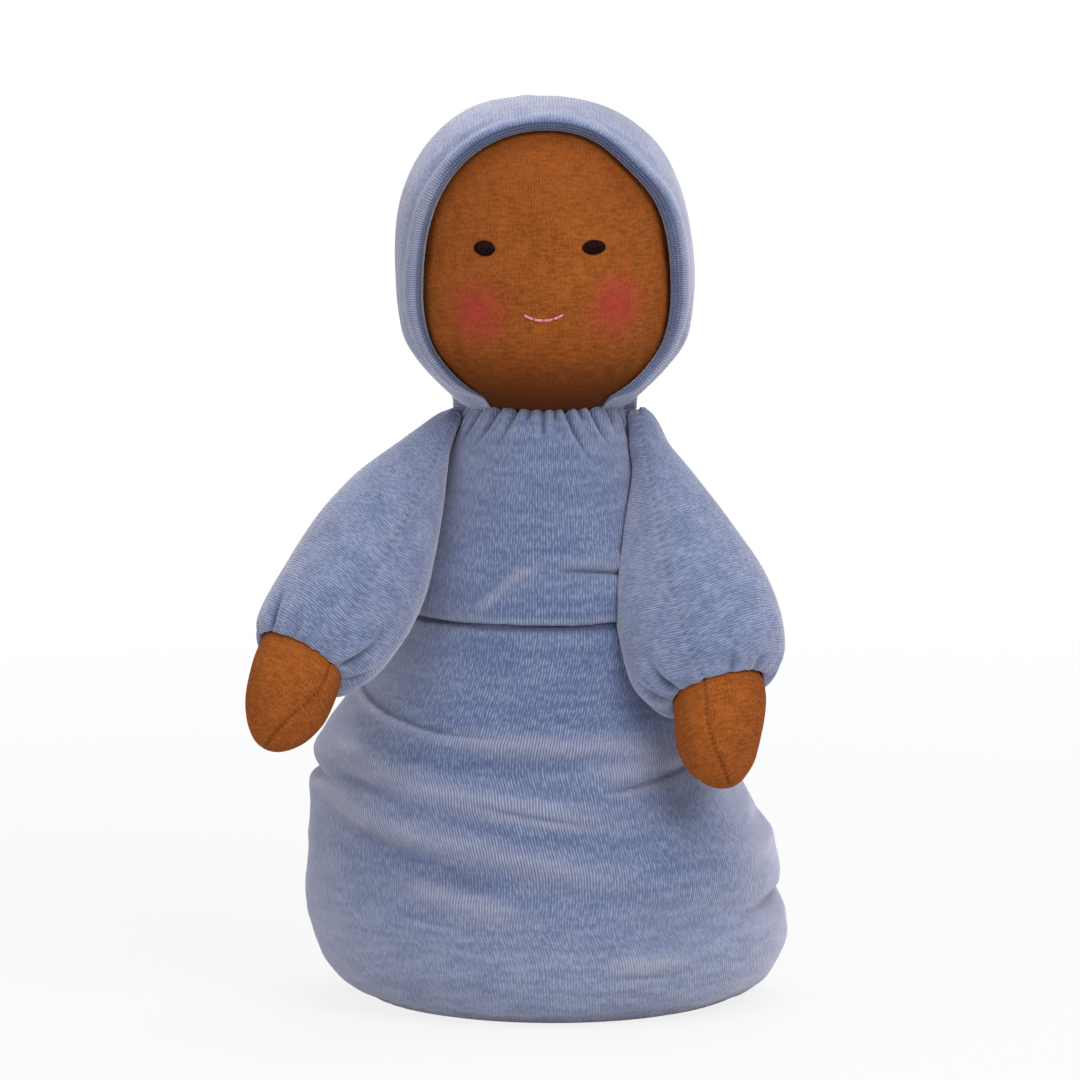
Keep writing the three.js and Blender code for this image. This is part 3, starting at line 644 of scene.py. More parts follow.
# %% The gown's outline
# Height, reach to the doll's right, reach to its left, and half depth, in mm
GOWN_STATIONS = [
    (0.4, -63.5, 70.5, 61.5), (2.6, -73.0, 79.0, 67.5), (8.8, -81.5, 87.5, 73.0), (14.7, -87.2, 92.5, 76.0),
    (20.6, -91.3, 95.9, 78.0), (29.0, -94.8, 98.2, 79.3), (37.0, -97.2, 96.6, 79.5), (44.1, -98.6, 93.2, 79.2),
    (50.0, -98.6, 94.3, 79.0), (58.0, -97.6, 94.8, 78.6), (67.6, -97.2, 93.0, 77.8), (79.3, -96.4, 87.0, 75.8),
    (91.0, -96.4, 80.8, 72.8), (98.0, -94.6, 77.8, 70.6), (106.0, -95.4, 74.5, 68.2),
    (113.0, -92.0, 71.5, 65.6), (123.0, -84.5, 68.2, 62.0), (134.0, -75.5, 65.2, 58.4),
    (146.0, -67.5, 63.0, 55.4), (156.0, -62.5, 61.4, 53.8), (161.5, -59.6, 59.2, 52.2),
    (164.0, -56.6, 56.4, 49.4), (165.2, -55.8, 55.6, 48.6), (164.6, -58.2, 58.0, 51.2),
    (166.0, -60.2, 60.0, 53.2), (171.0, -60.0, 59.6, 53.2), (182.0, -56.8, 56.2, 50.6),
    (198.0, -50.2, 49.6, 45.6), (214.0, -44.0, 43.2, 41.2), (228.0, -40.0, 38.4, 37.6),
    (236.0, -37.6, 35.8, 35.4), (242.0, -35.4, 33.8, 33.6), (246.5, -33.4, 32.4, 32.2),
    (249.8, -31.4, 31.0, 30.8), (251.8, -29.8, 29.8, 29.6), (251.2, -28.4, 28.4, 28.2),
    (246.0, -27.2, 27.2, 27.0), (240.0, -26.8, 26.8, 26.8),
]


def smooth_track(stations, samples=24):
    """A curve run smoothly through a table's rows: its share of length and its values, in mm."""
    rows = np.array(stations, float)
    padded = np.vstack([2 * rows[0] - rows[1], rows, 2 * rows[-1] - rows[-2]])
    run = []
    for i in range(len(rows) - 1):
        a, b, c, d = padded[i:i + 4]
        for t in np.arange(samples) / samples:
            run.append(0.5 * (2 * b + (c - a) * t + (2 * a - 5 * b + 4 * c - d) * t ** 2
                              + (3 * b - 3 * c + d - a) * t ** 3))
    run.append(rows[-1])
    run = np.array(run)
    steps = np.hypot(np.diff(run[:, 0]), np.diff(run[:, 1]))
    length = np.concatenate([[0], np.cumsum(steps)])
    return length / length[-1], run, length[-1]


GOWN_SHARES, GOWN_RUN, GOWN_LENGTH = smooth_track(GOWN_STATIONS)
print("cloth from foot to neck:", round(GOWN_LENGTH), "mm")


def gown_at(share):
    """Height, middle, half width and half depth of the gown at a share of its length."""
    height, right, left, depth = (np.interp(share, GOWN_SHARES, GOWN_RUN[:, i]) for i in range(4))
    return height, (left + right) / 2, (left - right) / 2, depth


# %% The gown's first rows
GOWN_CORNERS = 112
GOWN_ROWS = 148
GOWN_ROW_SHARES = [i / (GOWN_ROWS - 1) for i in range(GOWN_ROWS)]
# Half the width of the cut cloth at each row, evened out, and wider than the neck where it is gathered
GATHERED = 136.0
GOWN_CLOTH_HALF = [
    max(GATHERED, math.pi * sum(sum(gown_at(share + step)[2:]) for step in (-0.04, -0.02, 0, 0.02, 0.04)) / 10)
    for share in GOWN_ROW_SHARES]


def gown_place(around, along):
    height, middle, half, depth = gown_at(along)
    return oval(around, middle, half, depth, height)


def gown_cloth_place(around, along):
    """Where a corner lies on the cut cloth, in metres from the middle of the front."""
    half = np.interp(along, GOWN_ROW_SHARES, GOWN_CLOTH_HALF)
    return ((2 * around - 1) * half * MM, along * GOWN_LENGTH * MM)


gown = as_piece(draw_rows(gown_place, GOWN_ROWS, GOWN_CORNERS, gown_cloth_place), "gown", velour_gown)
print("gown corners:", len(gown.data.vertices))

# %% The folds of the gown
# Each row is a route, its depth and width in mm, and the shares over which it fades at its two ends. A
# route's points are degrees from the front towards the doll's left, and heights in mm.
GOWN_FOLDS = [
    ([(0, 187), (10, 187), (22, 186.5), (36, 185)], 2.4, 1.3, (0.6, 0.02)),
    ([(14, 118), (-8, 119.5), (-24, 121), (-38, 124), (-54, 127.5), (-84, 134), (-110, 137)], 1.6, 1.3, (0.45, 0.1)),
    ([(20, 84), (8, 87), (-8, 91.5), (-22, 96)], 1.2, 1.3, (0.3, 0.5)),
    ([(58, 105), (51, 103.5), (36, 100), (26, 98), (18, 97.5)], 1.6, 1.3, (0.1, 0.3)),
    ([(34, 21), (24, 21.5), (14, 22.5)], 0.8, 1.2, (0.3, 0.3)),
    ([(-14, 42), (-26, 44), (-40, 49)], 0.8, 1.4, (0.3, 0.4)),
    ([(130, 58), (104, 50), (84, 46), (66, 43), (52, 42)], 2.2, 2.6, (0.2, 0.4)),
    ([(-62, 97), (-80, 99), (-98, 101), (-120, 104)], 2.4, 2.2, (0.4, 0.3)),
    ([(218, 120), (196, 124), (170, 122), (146, 117)], 2.2, 2.0, (0.3, 0.3)),
    ([(232, 92), (206, 86), (178, 88), (152, 95), (128, 100)], 2.0, 2.2, (0.3, 0.3)),
    ([(210, 62), (190, 58), (166, 60)], 1.6, 2.0, (0.3, 0.4)),
    ([(205, 186), (184, 190), (160, 187)], 2.2, 2.4, (0.4, 0.4)),
]
GOWN_RIDGES = [
    ([(-32, 166), (-25, 172), (-18, 179), (-11, 185), (2, 190)], 2.2, 1.6, (0.25, 0.3)),
    ([(-30, 121), (-12, 118), (9, 116), (41, 114), (60, 116)], 1.4, 3.6, (0.3, 0.4)),
    ([(-86, 118), (-70, 113), (-54, 108), (-30, 99), (-8, 93), (14, 88), (40, 90)], 1.8, 4.4, (0.2, 0.3)),
    ([(-84, 100), (-70, 96), (-55, 88), (-37, 81), (-16, 75), (11, 65), (34, 62)], 2.0, 5.0, (0.15, 0.3)),
    ([(-44, 60), (-29, 57), (-14, 51), (4, 44)], 1.0, 4.0, (0.4, 0.4)),
    ([(14, 106), (26, 104), (42, 107), (60, 110)], 1.5, 3.0, (0.3, 0.3)),
    ([(6, 26), (24, 27), (44, 28)], 0.9, 3.4, (0.4, 0.4)),
    ([(50, 62), (66, 66), (84, 70), (108, 74)], 1.4, 5.0, (0.3, 0.3)),
    ([(150, 74), (176, 70), (204, 73), (230, 80)], 1.6, 5.0, (0.3, 0.3)),
    ([(160, 106), (180, 108), (206, 105)], 1.3, 4.0, (0.3, 0.3)),
    ([(146, 40), (172, 36), (200, 38)], 1.0, 4.6, (0.3, 0.3)),
]
# Hollows between the folds
GOWN_HOLLOWS = [
    ([(-60, 116), (-35, 112), (-12, 110), (12, 110), (36, 112)], 0.6, 4.0, (0.3, 0.3)),
    ([(-74, 92), (-55, 83), (-38, 73), (-18, 62), (2, 57)], 0.7, 4.4, (0.2, 0.3)),
    ([(-66, 103), (-48, 98), (-30, 92)], 0.4, 3.0, (0.3, 0.4)),
    ([(30, 88), (52, 94), (70, 96)], 0.6, 4.0, (0.3, 0.3)),
]
# Pleats at the neck, each a groove that fans out as it goes down: its route and its depth
NECK_PLEATS = [
    ([(-74, 252), (-84, 236)], 1.8), ([(-54, 252), (-60, 243), (-70, 232)], 2.0),
    ([(-37, 252), (-42, 244), (-53, 233)], 2.0), ([(-22, 252), (-27, 243), (-33, 234)], 1.7),
    ([(-11, 251), (-13, 246)], 0.9), ([(-1, 252), (1, 236)], 1.2), ([(8, 251), (9, 246)], 0.9),
    ([(16, 252), (22, 242), (34, 228)], 1.9),
    ([(27, 251), (30, 246)], 0.9), ([(37, 252), (42, 244), (50, 234)], 1.9), ([(54, 252), (60, 239)], 2.0),
    ([(72, 251), (76, 234)], 2.0), ([(92, 251), (96, 238)], 1.8),
    ([(112, 251), (106, 238)], 1.8), ([(131, 251), (121, 235)], 2.0), ([(147, 251), (140, 239)], 1.6),
    ([(163, 251), (159, 234)], 2.0), ([(178, 251), (179, 240)], 1.5), ([(194, 251), (198, 236)], 1.9),
    ([(211, 251), (218, 239)], 1.7), ([(228, 251), (238, 236)], 2.0), ([(247, 251), (254, 239)], 1.8),
    ([(266, 251), (268, 238)], 1.8),
]
PLEAT_WIDTH = 1.3
print("folds, ridges, hollows and pleats:", [len(t) for t in (GOWN_FOLDS, GOWN_RIDGES, GOWN_HOLLOWS, NECK_PLEATS)])

# %% The gown is blown out a little as cloth
SETTLING_STEPS = 20


def puff(piece, held, pressure, most, swell):
    """Lets the cloth settle under a little pressure, by at most so many metres. Held is 1 where it is sewn."""
    group = piece.vertex_groups.new(name="sewn")
    for i, weight in enumerate(held):
        if weight > 0:
            group.add([i], float(weight), "REPLACE")
    before = corners_of(piece)
    cloth = piece.modifiers.new("cloth", "CLOTH")
    for word, value in {
            "quality": 6, "mass": 0.2, "tension_stiffness": 20, "compression_stiffness": 12,
            "shear_stiffness": 6, "bending_stiffness": 0.6, "use_pressure": True,
            "uniform_pressure_force": pressure, "shrink_min": -swell, "vertex_group_mass": "sewn"}.items():
        setattr(cloth.settings, word, value)
    cloth.settings.effector_weights.gravity = 0
    cloth.collision_settings.use_collision = False
    cloth.point_cache.frame_end = SETTLING_STEPS
    for step in range(1, SETTLING_STEPS + 1):
        scene.frame_set(step)
    settled = piece.evaluated_get(bpy.context.evaluated_depsgraph_get()).to_mesh()
    moved = read(settled.vertices, "co", 3) - before
    reach = np.linalg.norm(moved, axis=1)
    moved *= (np.minimum(reach, most) / np.maximum(reach, 1e-9))[:, None]
    piece.modifiers.clear()
    piece.vertex_groups.clear()
    put_corners(piece, before + moved)
    scene.frame_set(1)
    print(piece.name, "settled by up to", round(float(reach.max()) / MM, 1), "mm")


gown_cloth = cloth_of(gown)
gown_along = gown_cloth[:, 1] / (GOWN_LENGTH * MM)
gown_held = ease((gown_along - 0.62) / 0.1) + ease((0.06 - gown_along) / 0.04)
puff(gown, np.clip(gown_held, 0, 1), 1.5, 4 * MM, 0.02)
refine(gown)

# %% Then its folds and pleats are laid on
NECK_RADIUS = 32.0


def on_gown(angles, heights, radius):
    """Places on the unrolled gown at this radius, in mm, from degrees and heights."""
    return np.column_stack([np.radians(angles) * radius, heights])


places = corners_of(gown) / MM
cloth_places = cloth_of(gown)
cloth_half = np.interp(cloth_places[:, 1] / (GOWN_LENGTH * MM), GOWN_ROW_SHARES, GOWN_CLOTH_HALF) * MM
from_front = -180 * cloth_places[:, 0] / cloth_half
from_front = np.where(from_front < -90, from_front + 360, from_front)
radius = np.hypot(places[:, 0], places[:, 1])
lift = np.zeros(len(places))
crest = np.zeros(len(places))
shade_share = np.zeros(len(places))
outside = cloth_places[:, 1] < (GOWN_LENGTH - 6) * MM
for kind, table in ((fold, GOWN_FOLDS), (ridge, GOWN_RIDGES), (hollow, GOWN_HOLLOWS)):
    for route, depth, width, fade in table:
        mean = radius[np.abs(places[:, 2] - route[0][1]) < 4].mean()
        raised, stretched, crease_shade = kind(
            on_gown(from_front, places[:, 2], mean), on_gown(*zip(*route), mean), depth, width, fade)
        lift += raised
        crest += stretched
        shade_share += crease_shade
scallop = np.zeros(len(places))
for route, depth in NECK_PLEATS:
    signed, share = beside(on_gown(from_front, places[:, 2], NECK_RADIUS), on_gown(*zip(*route), NECK_RADIUS))
    low_end = ease((1 - share) / 0.6)
    lift += -depth * low_end * hill(signed, PLEAT_WIDTH)
    lift += 0.5 * depth * low_end * hill(np.abs(signed) - 2.1 * PLEAT_WIDTH, 1.3 * PLEAT_WIDTH)
    crest += 0.5 * low_end * hill(np.abs(signed) - 1.8 * PLEAT_WIDTH, 0.8 * PLEAT_WIDTH)
    # Painted shade in each pleat's groove
    shade_share += 0.8 * low_end * hill(signed, 0.5 * PLEAT_WIDTH)
    scallop += 0.35 * depth * hill(signed, 1.1 * PLEAT_WIDTH)
# The filling makes broad and small lumps below the chest and slight ones above, and the foot stays level
sack = ease((150 - places[:, 2]) / 40)
lift += sack * (1.1 * lumps(places * (1, 1, 2.2), 34, 1) + 0.5 * lumps(places * (1, 1, 2), 14, 2))
lift += (1 - sack) * 0.35 * lumps(places, 16, 3)
foot = ease(places[:, 2] / 6)
# The collar's edge dips a little at each pleat
moved = places + normals_of(gown) * (lift * foot * outside)[:, None]
moved[:, 2] -= np.minimum(scallop, 2) * ease((places[:, 2] - 244) / 5)
put_corners(gown, moved * MM)
# The velour reads how far the cloth is stretched, the painted shade in its folds, pleats and the waist crease,
# and a paler nap at the foot, at the sides and on the chest, partly brushed up and partly painted light and sheen
waist_crease_shade = hill(places[:, 2] - 163.4, 1.1)
waist_lip = 0.7 * hill(places[:, 2] - 166.6, 1.2)
sideways = np.abs(np.sin(np.radians(from_front))) ** 3
brushed_and_lit = 0.95 * ease((76 - places[:, 2]) / 60) + 0.4 * sideways + 0.12 * ease((places[:, 2] - 170) / 20)
set_shares(gown, Crest=(crest + waist_lip) * foot, Deep=shade_share + waist_crease_shade, Brushed=brushed_and_lit)

# %% The gown rides between the body and the neck, so that its collar follows a nod
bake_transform(gown, "torso", "neck", start=(0, 0, 0.222), end=(0, 0, 0.251))
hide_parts("gown_body")
print("gown faces:", len(gown.data.polygons))

# %% [markdown]
# ## The base panel
# The sack stands on an oval of the same velour, sewn to its foot all round. Its middle is pressed flat
# by the grain, and the seam draws the edge in. An inset oval with a shallow groove near its rim gives
# that, and closes the sack below.

# %% The base panel
# Share of the way out, and height in mm
BASE_ROWS = np.array([
    (0.0, 0.35), (0.35, 0.3), (0.6, 0.25), (0.78, 0.2), (0.9, 0.15), (0.955, 0.9), (0.985, 1.6), (1.0, 0.5)])
BASE_SHARES = [i / (len(BASE_ROWS) - 1) for i in range(len(BASE_ROWS))]


def base_place(around, along):
    share, height = (np.interp(along, BASE_SHARES, BASE_ROWS[:, i]) for i in range(2))
    _, middle, half, depth = gown_at(0)
    return oval(around, middle, share * half, share * depth, height)


def base_cloth(around, along):
    return (0.07 * along * math.sin(FULL_TURN * around), 0.06 * along * math.cos(FULL_TURN * around))


base = as_piece(draw_rows(base_place, len(BASE_ROWS), GOWN_CORNERS, base_cloth), "base_panel", velour_gown)
if sum(face.normal.z * face.area for face in base.data.polygons) > 0:
    base.data.flip_normals()
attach(base, "torso")
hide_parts("gown_base")
set_shares(base, Crest=0, Deep=0, Brushed=0.4)
print("base corners:", len(base.data.vertices))

# %% [markdown]
# ## The head
# The head is a hard ball of wool in gauze, tied across at the eyes and at the neck, and the jersey is
# stretched over it without a crease. So the form is nearly a solid of revolution: a rounder crown, a
# fuller chin and a shallow hollow along the eye line. Rows from the neck to the crown give it, and a
# little unevenness keeps it from looking machined.

# %% The head's outline
HEAD_WIDEST = 305.1
HEAD_RADIUS = 57.8
HEAD_CROWN = 69.5
HEAD_CHIN = 59.5
# An ellipse has a power of 2, and more than that makes crown and chin fuller
HEAD_POWER = 2.4
EYE_LINE = 12.0
HEAD_ROWS = 90
HEAD_CORNERS = 120


def head_radius(height, offset=0.0, dent=1.2):
    """Radius of the skin at a height, in mm, with a shallow hollow at the eye line."""
    above = height - HEAD_WIDEST
    reach = HEAD_CROWN + 0.75 * offset if above > 0 else HEAD_CHIN + offset
    share = min(1.0, abs(above) / reach)
    radius = (HEAD_RADIUS + offset) * (1 - share ** HEAD_POWER) ** (1 / HEAD_POWER)
    return radius - dent * math.exp(-((above - EYE_LINE) / 9) ** 2)


def head_place(around, along):
    height = HEAD_WIDEST - math.cos(math.pi * along) * (HEAD_CHIN if along < 0.5 else HEAD_CROWN)
    reach = head_radius(height) if 0 < along < 1 else 0
    return oval(around, 0, reach, reach, height)


def head_cloth(around, along):
    """Ribs run from brow to chin, and draw together less than the ball does."""
    height = head_place(0.25, along).z / MM
    reach = max(head_radius(height), 0) ** 0.6 * HEAD_RADIUS ** 0.4
    return ((around - 0.5) * FULL_TURN * reach * MM, height * MM)


head = as_piece(draw_rows(head_place, HEAD_ROWS, HEAD_CORNERS, head_cloth), "head", jersey_face)
refine(head)
places = corners_of(head) / MM
lift_cloth(head, places, 0.35 * lumps(places, 22, 4) + 0.12 * lumps(places, 7, 5))
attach(head, "head")
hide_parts("head_skin")
print("head faces:", len(head.data.polygons))

# %% [markdown]
# ## Eyes in satin stitch
# Each eye is an almond of dark stranded cotton, worked in upright threads that lie side by side. The CAD
# has a smooth pad there. Here every thread is its own thin tube that dips into the skin at both ends,
# because the thread's edges are what catches the light.

# %% A thread is drawn the same way, as a tube of six sides
THREAD_SIDES = 6


def add_thread(bm, points, thickness):
    """Adds a tube along the points to the mesh. It comes to a point where it goes into the cloth."""
    last = len(points) - 1

    def place(around, along):
        number = round(along * last)
        ahead = (points[min(number + 1, last)] - points[max(number - 1, 0)]).normalized()
        side = ahead.cross(Vector((0, -1, 0))).normalized()
        up = side.cross(ahead)
        size = 0 if number in (0, last) else thickness
        angle = FULL_TURN * around
        return points[number] + (side * math.cos(angle) + up * math.sin(angle)) * size

    part = draw_rows(place, last + 1, THREAD_SIDES, lambda around, along: (around, along))
    thread = bpy.data.meshes.new("thread")
    part.to_mesh(thread)
    part.free()
    bm.from_mesh(thread)
    bpy.data.meshes.remove(thread)


def on_face(x, height, lift):
    """The point of the face at this side and height, lifted off the skin, in mm."""
    reach = head_radius(height) + lift
    return Vector((x, -math.sqrt(max(reach ** 2 - x ** 2, 0)), height))


# %% The two eyes
EYE_THREADS = 15
EYE_THREAD_STEPS = 9
EYE_THREAD = 0.4
# How far the stitches stand off the skin in the middle, and how deep their ends go in
EYE_PAD, EYE_ENDS = 1.5, 0.25
# Side and height of the middle, half width and half height in mm
EYES = {"left": (20.0, 321.5, 4.7, 3.5), "right": (-24.9, 320.8, 4.2, 3.5)}

for side, (eye_x, eye_height, half_width, half_height) in EYES.items():
    bm = bmesh.new()
    for i in range(EYE_THREADS):
        across = 2 * (i + 0.5) / EYE_THREADS - 1
        reach = half_height * (1 - abs(across) ** 2.1) ** 0.52
        points = []
        for j in range(EYE_THREAD_STEPS):
            t = 2 * j / (EYE_THREAD_STEPS - 1) - 1
            pad = EYE_PAD * (1 - t * t) * (1 - 0.6 * across ** 2) - EYE_ENDS
            points.append(on_face(eye_x + across * half_width, eye_height + t * reach, pad) * MM)
        add_thread(bm, points, EYE_THREAD * MM)
    eye = as_piece(bm, f"{side}_eye_stitch", eye_cotton)
    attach(eye, "head")
    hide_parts(f"{side}_eye")
print("threads in each eye:", EYE_THREADS)

# %% [markdown]
# ## The mouth in backstitch
# The mouth is one row of short pink stitches, each starting where the last one ended, with two strands
# side by side. Each stitch rises from the skin, lies a little slack, and goes back in.

# %% The mouth
MOUTH_STITCHES = 4
MOUTH_MIDDLE = -0.8
MOUTH_HALF_WIDTH = 8.0
MOUTH_HEIGHT = 291.9
MOUTH_RISE = 2.35
MOUTH_THREAD = 0.3
# Where a stitch starts and ends, as shares of its room: each one runs a little into the next
STITCH_ENDS = (-0.04, 1.1)
# How far the two strands lie above and below the line
STRAND_PLACES = (-0.22, 0.22)
STRAND_STEPS = 5

bm = bmesh.new()
for i in range(MOUTH_STITCHES):
    start, end = (2 * (i + share) / MOUTH_STITCHES - 1 for share in STITCH_ENDS)
    for strand in STRAND_PLACES:
        points = []
        for j in range(STRAND_STEPS + 1):
            t = j / STRAND_STEPS
            x = start + (end - start) * t
            height = MOUTH_HEIGHT + MOUTH_RISE * x * x + strand
            slack = 0.55 * math.sin(math.pi * t) ** 0.35 - 0.05
            points.append(on_face(MOUTH_MIDDLE + x * MOUTH_HALF_WIDTH, height, slack) * MM)
        add_thread(bm, points, MOUTH_THREAD * MM)
mouth = as_piece(bm, "mouth_stitches", mouth_cotton)
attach(mouth, "head")
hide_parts("mouth_stitch")
print("stitches in the mouth:", MOUTH_STITCHES)

# %% [markdown]
# ## The hood
# The hood is a bonnet of thick velour. Its edge is turned in and rolled round the face, so the front
# shows a dark inner band, partly painted shade, and then a pale rounded edge, partly painted light, and it runs down
# on both sides to the neck.
# The strip starts inside, against the head, comes forward, goes round the roll and then back over the
# crown, where it closes at a point, and its lower edge tucks in to the gown's neck. Each row lies in a
# plane that leans with the face opening.

# %% The hood's rows
HOOD_COLUMNS = 150
# The rows' planes lean back and turn a little to one side, as the face opening does
HOOD_LEAN = math.tan(math.radians(3))
HOOD_YAW = 0.025
# How far forward the rim lies, how low its two ends are in mm, and their degrees from the crown
RIM_PLANE = -29.2
HOOD_BOTTOM = 250.5
RIM_END_DEGREES = 160
# At the chin the front rows come forward, and lower down they go back beside the neck:
# from this height, over this drop, by this much
CHIN_HEIGHT, CHIN_DROP, CHIN_FORWARD = 282.0, 20.0, 3.4
SWEEP_HEIGHT, SWEEP_DROP, SWEEP = 258.0, 12.0, 16.0
# Over the left brow the rim hangs forward: where, and by how much
BROW_PLACE, BROW_FORWARD = (33.0, 352.0), 3.2
# Below this height the hood lies closer to the head and neck
CLOSE_HEIGHT, CLOSE_DROP, CLOSE_SHARE = 282.0, 24.0, 0.55
# Below the chin it hangs straight down at this radius, and at the back it tucks in to the gown's neck, as
# far down as this: by how much, from what height, over what drop, and how much higher up at the nape
HOOD_SKIRT, NECK_BOTTOM = 36.9, 240.5
TUCK, TUCK_HEIGHT, TUCK_DROP, NAPE_RISE = 8.5, 251.0, 10.0, 12.0
# The rows lean, so the last of them close to a point a little above the head's widest height
HOOD_POLE = 10.0

# %% The rim's section, and the rows behind it
# In mm outwards and forwards from where it touches the skin, how much painted shade lies there, which partly
# stands for a darker nap, and how far the turned-in cloth rises there in lines that run along the rim
RIM_SECTION = [
    (4.6, -6.0, 1.0, 0.0), (3.4, -4.5, 1.0, 0.0), (2.4, -3.0, 1.0, 0.0), (1.6, -1.5, 1.0, 0.0),
    (1.1, 0.0, 1.0, 0.0), (0.9, 1.4, 1.0, 0.0), (1.1, 2.7, 0.85, 0.0), (1.6, 3.7, 0.45, 0.7),
    (2.3, 4.5, 1.0, -0.9), (3.0, 5.1, 0.35, 0.8), (3.7, 5.6, 1.0, -0.9), (4.4, 6.0, 0.3, 0.8),
    (5.1, 6.3, 1.0, -0.7), (5.8, 6.4, 0.2, 0.4), (6.6, 6.2, 0.05, 0.0), (7.4, 5.5, 0.0, 0.0),
    (8.1, 4.3, 0.0, 0.0), (8.6, 2.8, 0.0, 0.0), (8.9, 1.2, 0.0, 0.0), (8.9, 0.0, 0.0, 0.0),
]
# Behind the rim: where each row lies, and how far its cloth stands off the head
HOOD_BACK_ROWS = [(-25, 7.1), (-20, 6.1), (-14, 5.1), (-8, 4.4), (-2, 4.0), (4, 3.8)]
HOOD_BACK_ROWS += [(plane, 3.7) for plane in (
    10, 15, 19, 22.5, 25, 26.8, 27.7, 28.6, 30, 32, 34, 36, 38, 41, 45, 49, 52.5, 55.5, 58, 59.8, 60.8, 61.4,
    61.65, 61.74, 62)]
HOOD_ROWS = len(RIM_SECTION) + len(HOOD_BACK_ROWS)
print("rows of the hood:", HOOD_ROWS)


# %% Where a row of the hood meets the head
def smooth_step(value):
    """The same as ease, for one number."""
    held = min(1.0, max(0.0, value))
    return held * held * (3 - 2 * held)


def row_y(plane_y, x, height):
    """How far back a row of the hood lies at this side and height, in mm."""
    front = smooth_step((12 - plane_y) / 40)
    sweep = SWEEP * smooth_step((SWEEP_HEIGHT - height) / SWEEP_DROP)
    brow = BROW_FORWARD * math.exp(-((x - BROW_PLACE[0]) / 16) ** 2 - ((height - BROW_PLACE[1]) / 16) ** 2)
    chin = CHIN_FORWARD * smooth_step((CHIN_HEIGHT - height) / CHIN_DROP)
    return plane_y - HOOD_LEAN * (height - HEAD_WIDEST) + front * (HOOD_YAW * x + sweep - brow - chin)


def hood_radius(height, offset, plane_y):
    """How far the hood's cloth is from the head's upright axis. It hangs straight only at the sides and back."""
    close = 1 - CLOSE_SHARE * smooth_step((CLOSE_HEIGHT - height) / CLOSE_DROP)
    radius = head_radius(height, offset * close, 0.0)
    rise = NAPE_RISE * smooth_step(plane_y / 30)
    tuck = TUCK * smooth_step((plane_y + 4) / 16) * smooth_step((TUCK_HEIGHT + rise - height) / (TUCK_DROP + rise))
    skirt = (HOOD_SKIRT + 0.4 * offset - tuck) * smooth_step((plane_y + 24) / 16)
    return max(radius, skirt) if height < HEAD_WIDEST else radius


def hood_point(angle, plane_y, offset):
    """Where a row meets the surface at this offset from the head, looking out at this angle."""
    start = HEAD_WIDEST + HOOD_POLE * smooth_step((plane_y - 42) / 16)
    near, far = 0.0, 140.0
    for _ in range(28):
        middle = (near + far) / 2
        x, height = middle * math.sin(angle), start + middle * math.cos(angle)
        inside = math.hypot(x, row_y(plane_y, x, height)) < hood_radius(height, offset, plane_y)
        near, far = (middle, far) if inside else (near, middle)
    x, height = near * math.sin(angle), start + near * math.cos(angle)
    return Vector((x, row_y(plane_y, x, height), height))


# %% Where the rim's corners and the rows' ends lie
def rim_point(angle, outwards, forwards, rise):
    """A point of the rim's section. The rim is slimmer over the brow and ends in two points."""
    foot = hood_point(angle, RIM_PLANE, 0)
    along = (hood_point(angle + 0.01, RIM_PLANE, 0) - hood_point(angle - 0.01, RIM_PLANE, 0)).normalized()
    ahead = Vector((0, -1, -HOOD_LEAN))
    ahead = (ahead - ahead.dot(along) * along).normalized()
    out = ahead.cross(along)
    if out.dot(foot - Vector((0, foot.y, HEAD_WIDEST))) < 0:
        out.negate()
    slim = (0.88 + 0.12 * smooth_step((abs(angle) - 0.5) / 0.6)) * (1 - 0.35 * smooth_step((abs(angle) - 1.7) / 0.6))
    slim *= 1 - 0.8 * smooth_step((abs(angle) - 2.4) / 0.3)
    lined = 1 - smooth_step((-angle - 0.5) / 0.5)
    return foot + (out * outwards + ahead * (forwards + lined * rise)) * slim


def hood_half_span(plane_y, offset):
    """The angle at which a row of the hood meets the neck, or a half turn behind it."""
    low = math.radians(RIM_END_DEGREES)
    back = smooth_step((plane_y + 22) / 14)
    bottom = HOOD_BOTTOM + (NECK_BOTTOM - HOOD_BOTTOM) * back
    radius = hood_radius(bottom, offset, plane_y)
    y = row_y(plane_y, 0, bottom)
    if abs(y) >= radius:
        return low if y < 0 else math.pi
    meets = math.pi - math.atan2(math.sqrt(radius ** 2 - y ** 2), HEAD_WIDEST - bottom)
    return low + (meets - low) * back


def hood_place(around, along):
    number = round(along * (HOOD_ROWS - 1))
    if number < len(RIM_SECTION):
        outwards, forwards, _, rise = RIM_SECTION[number]
        return rim_point(math.radians(RIM_END_DEGREES) * (2 * around - 1), outwards, forwards, rise) * MM
    plane, offset = HOOD_BACK_ROWS[number - len(RIM_SECTION)]
    return hood_point(hood_half_span(plane, offset) * (2 * around - 1), plane, offset) * MM


# %% The hood
# The cloth's UV in metres: its width, its run from row to row at the rim, and its share of the way behind
HOOD_CLOTH_WIDTH, RIM_CLOTH, BACK_CLOTH_SHARE = 0.33, 0.0035, 0.58
HOOD_SHARES = [i / (HOOD_ROWS - 1) for i in range(HOOD_ROWS)]
hood_run = [0.0]
for number in range(1, HOOD_ROWS):
    step = hood_place(0.5, HOOD_SHARES[number]) - hood_place(0.5, HOOD_SHARES[number - 1])
    hood_run.append(hood_run[-1] + (RIM_CLOTH if number <= len(RIM_SECTION) else BACK_CLOTH_SHARE * step.length))


def hood_cloth(around, along):
    return around * HOOD_CLOTH_WIDTH, hood_run[round(along * (HOOD_ROWS - 1))]


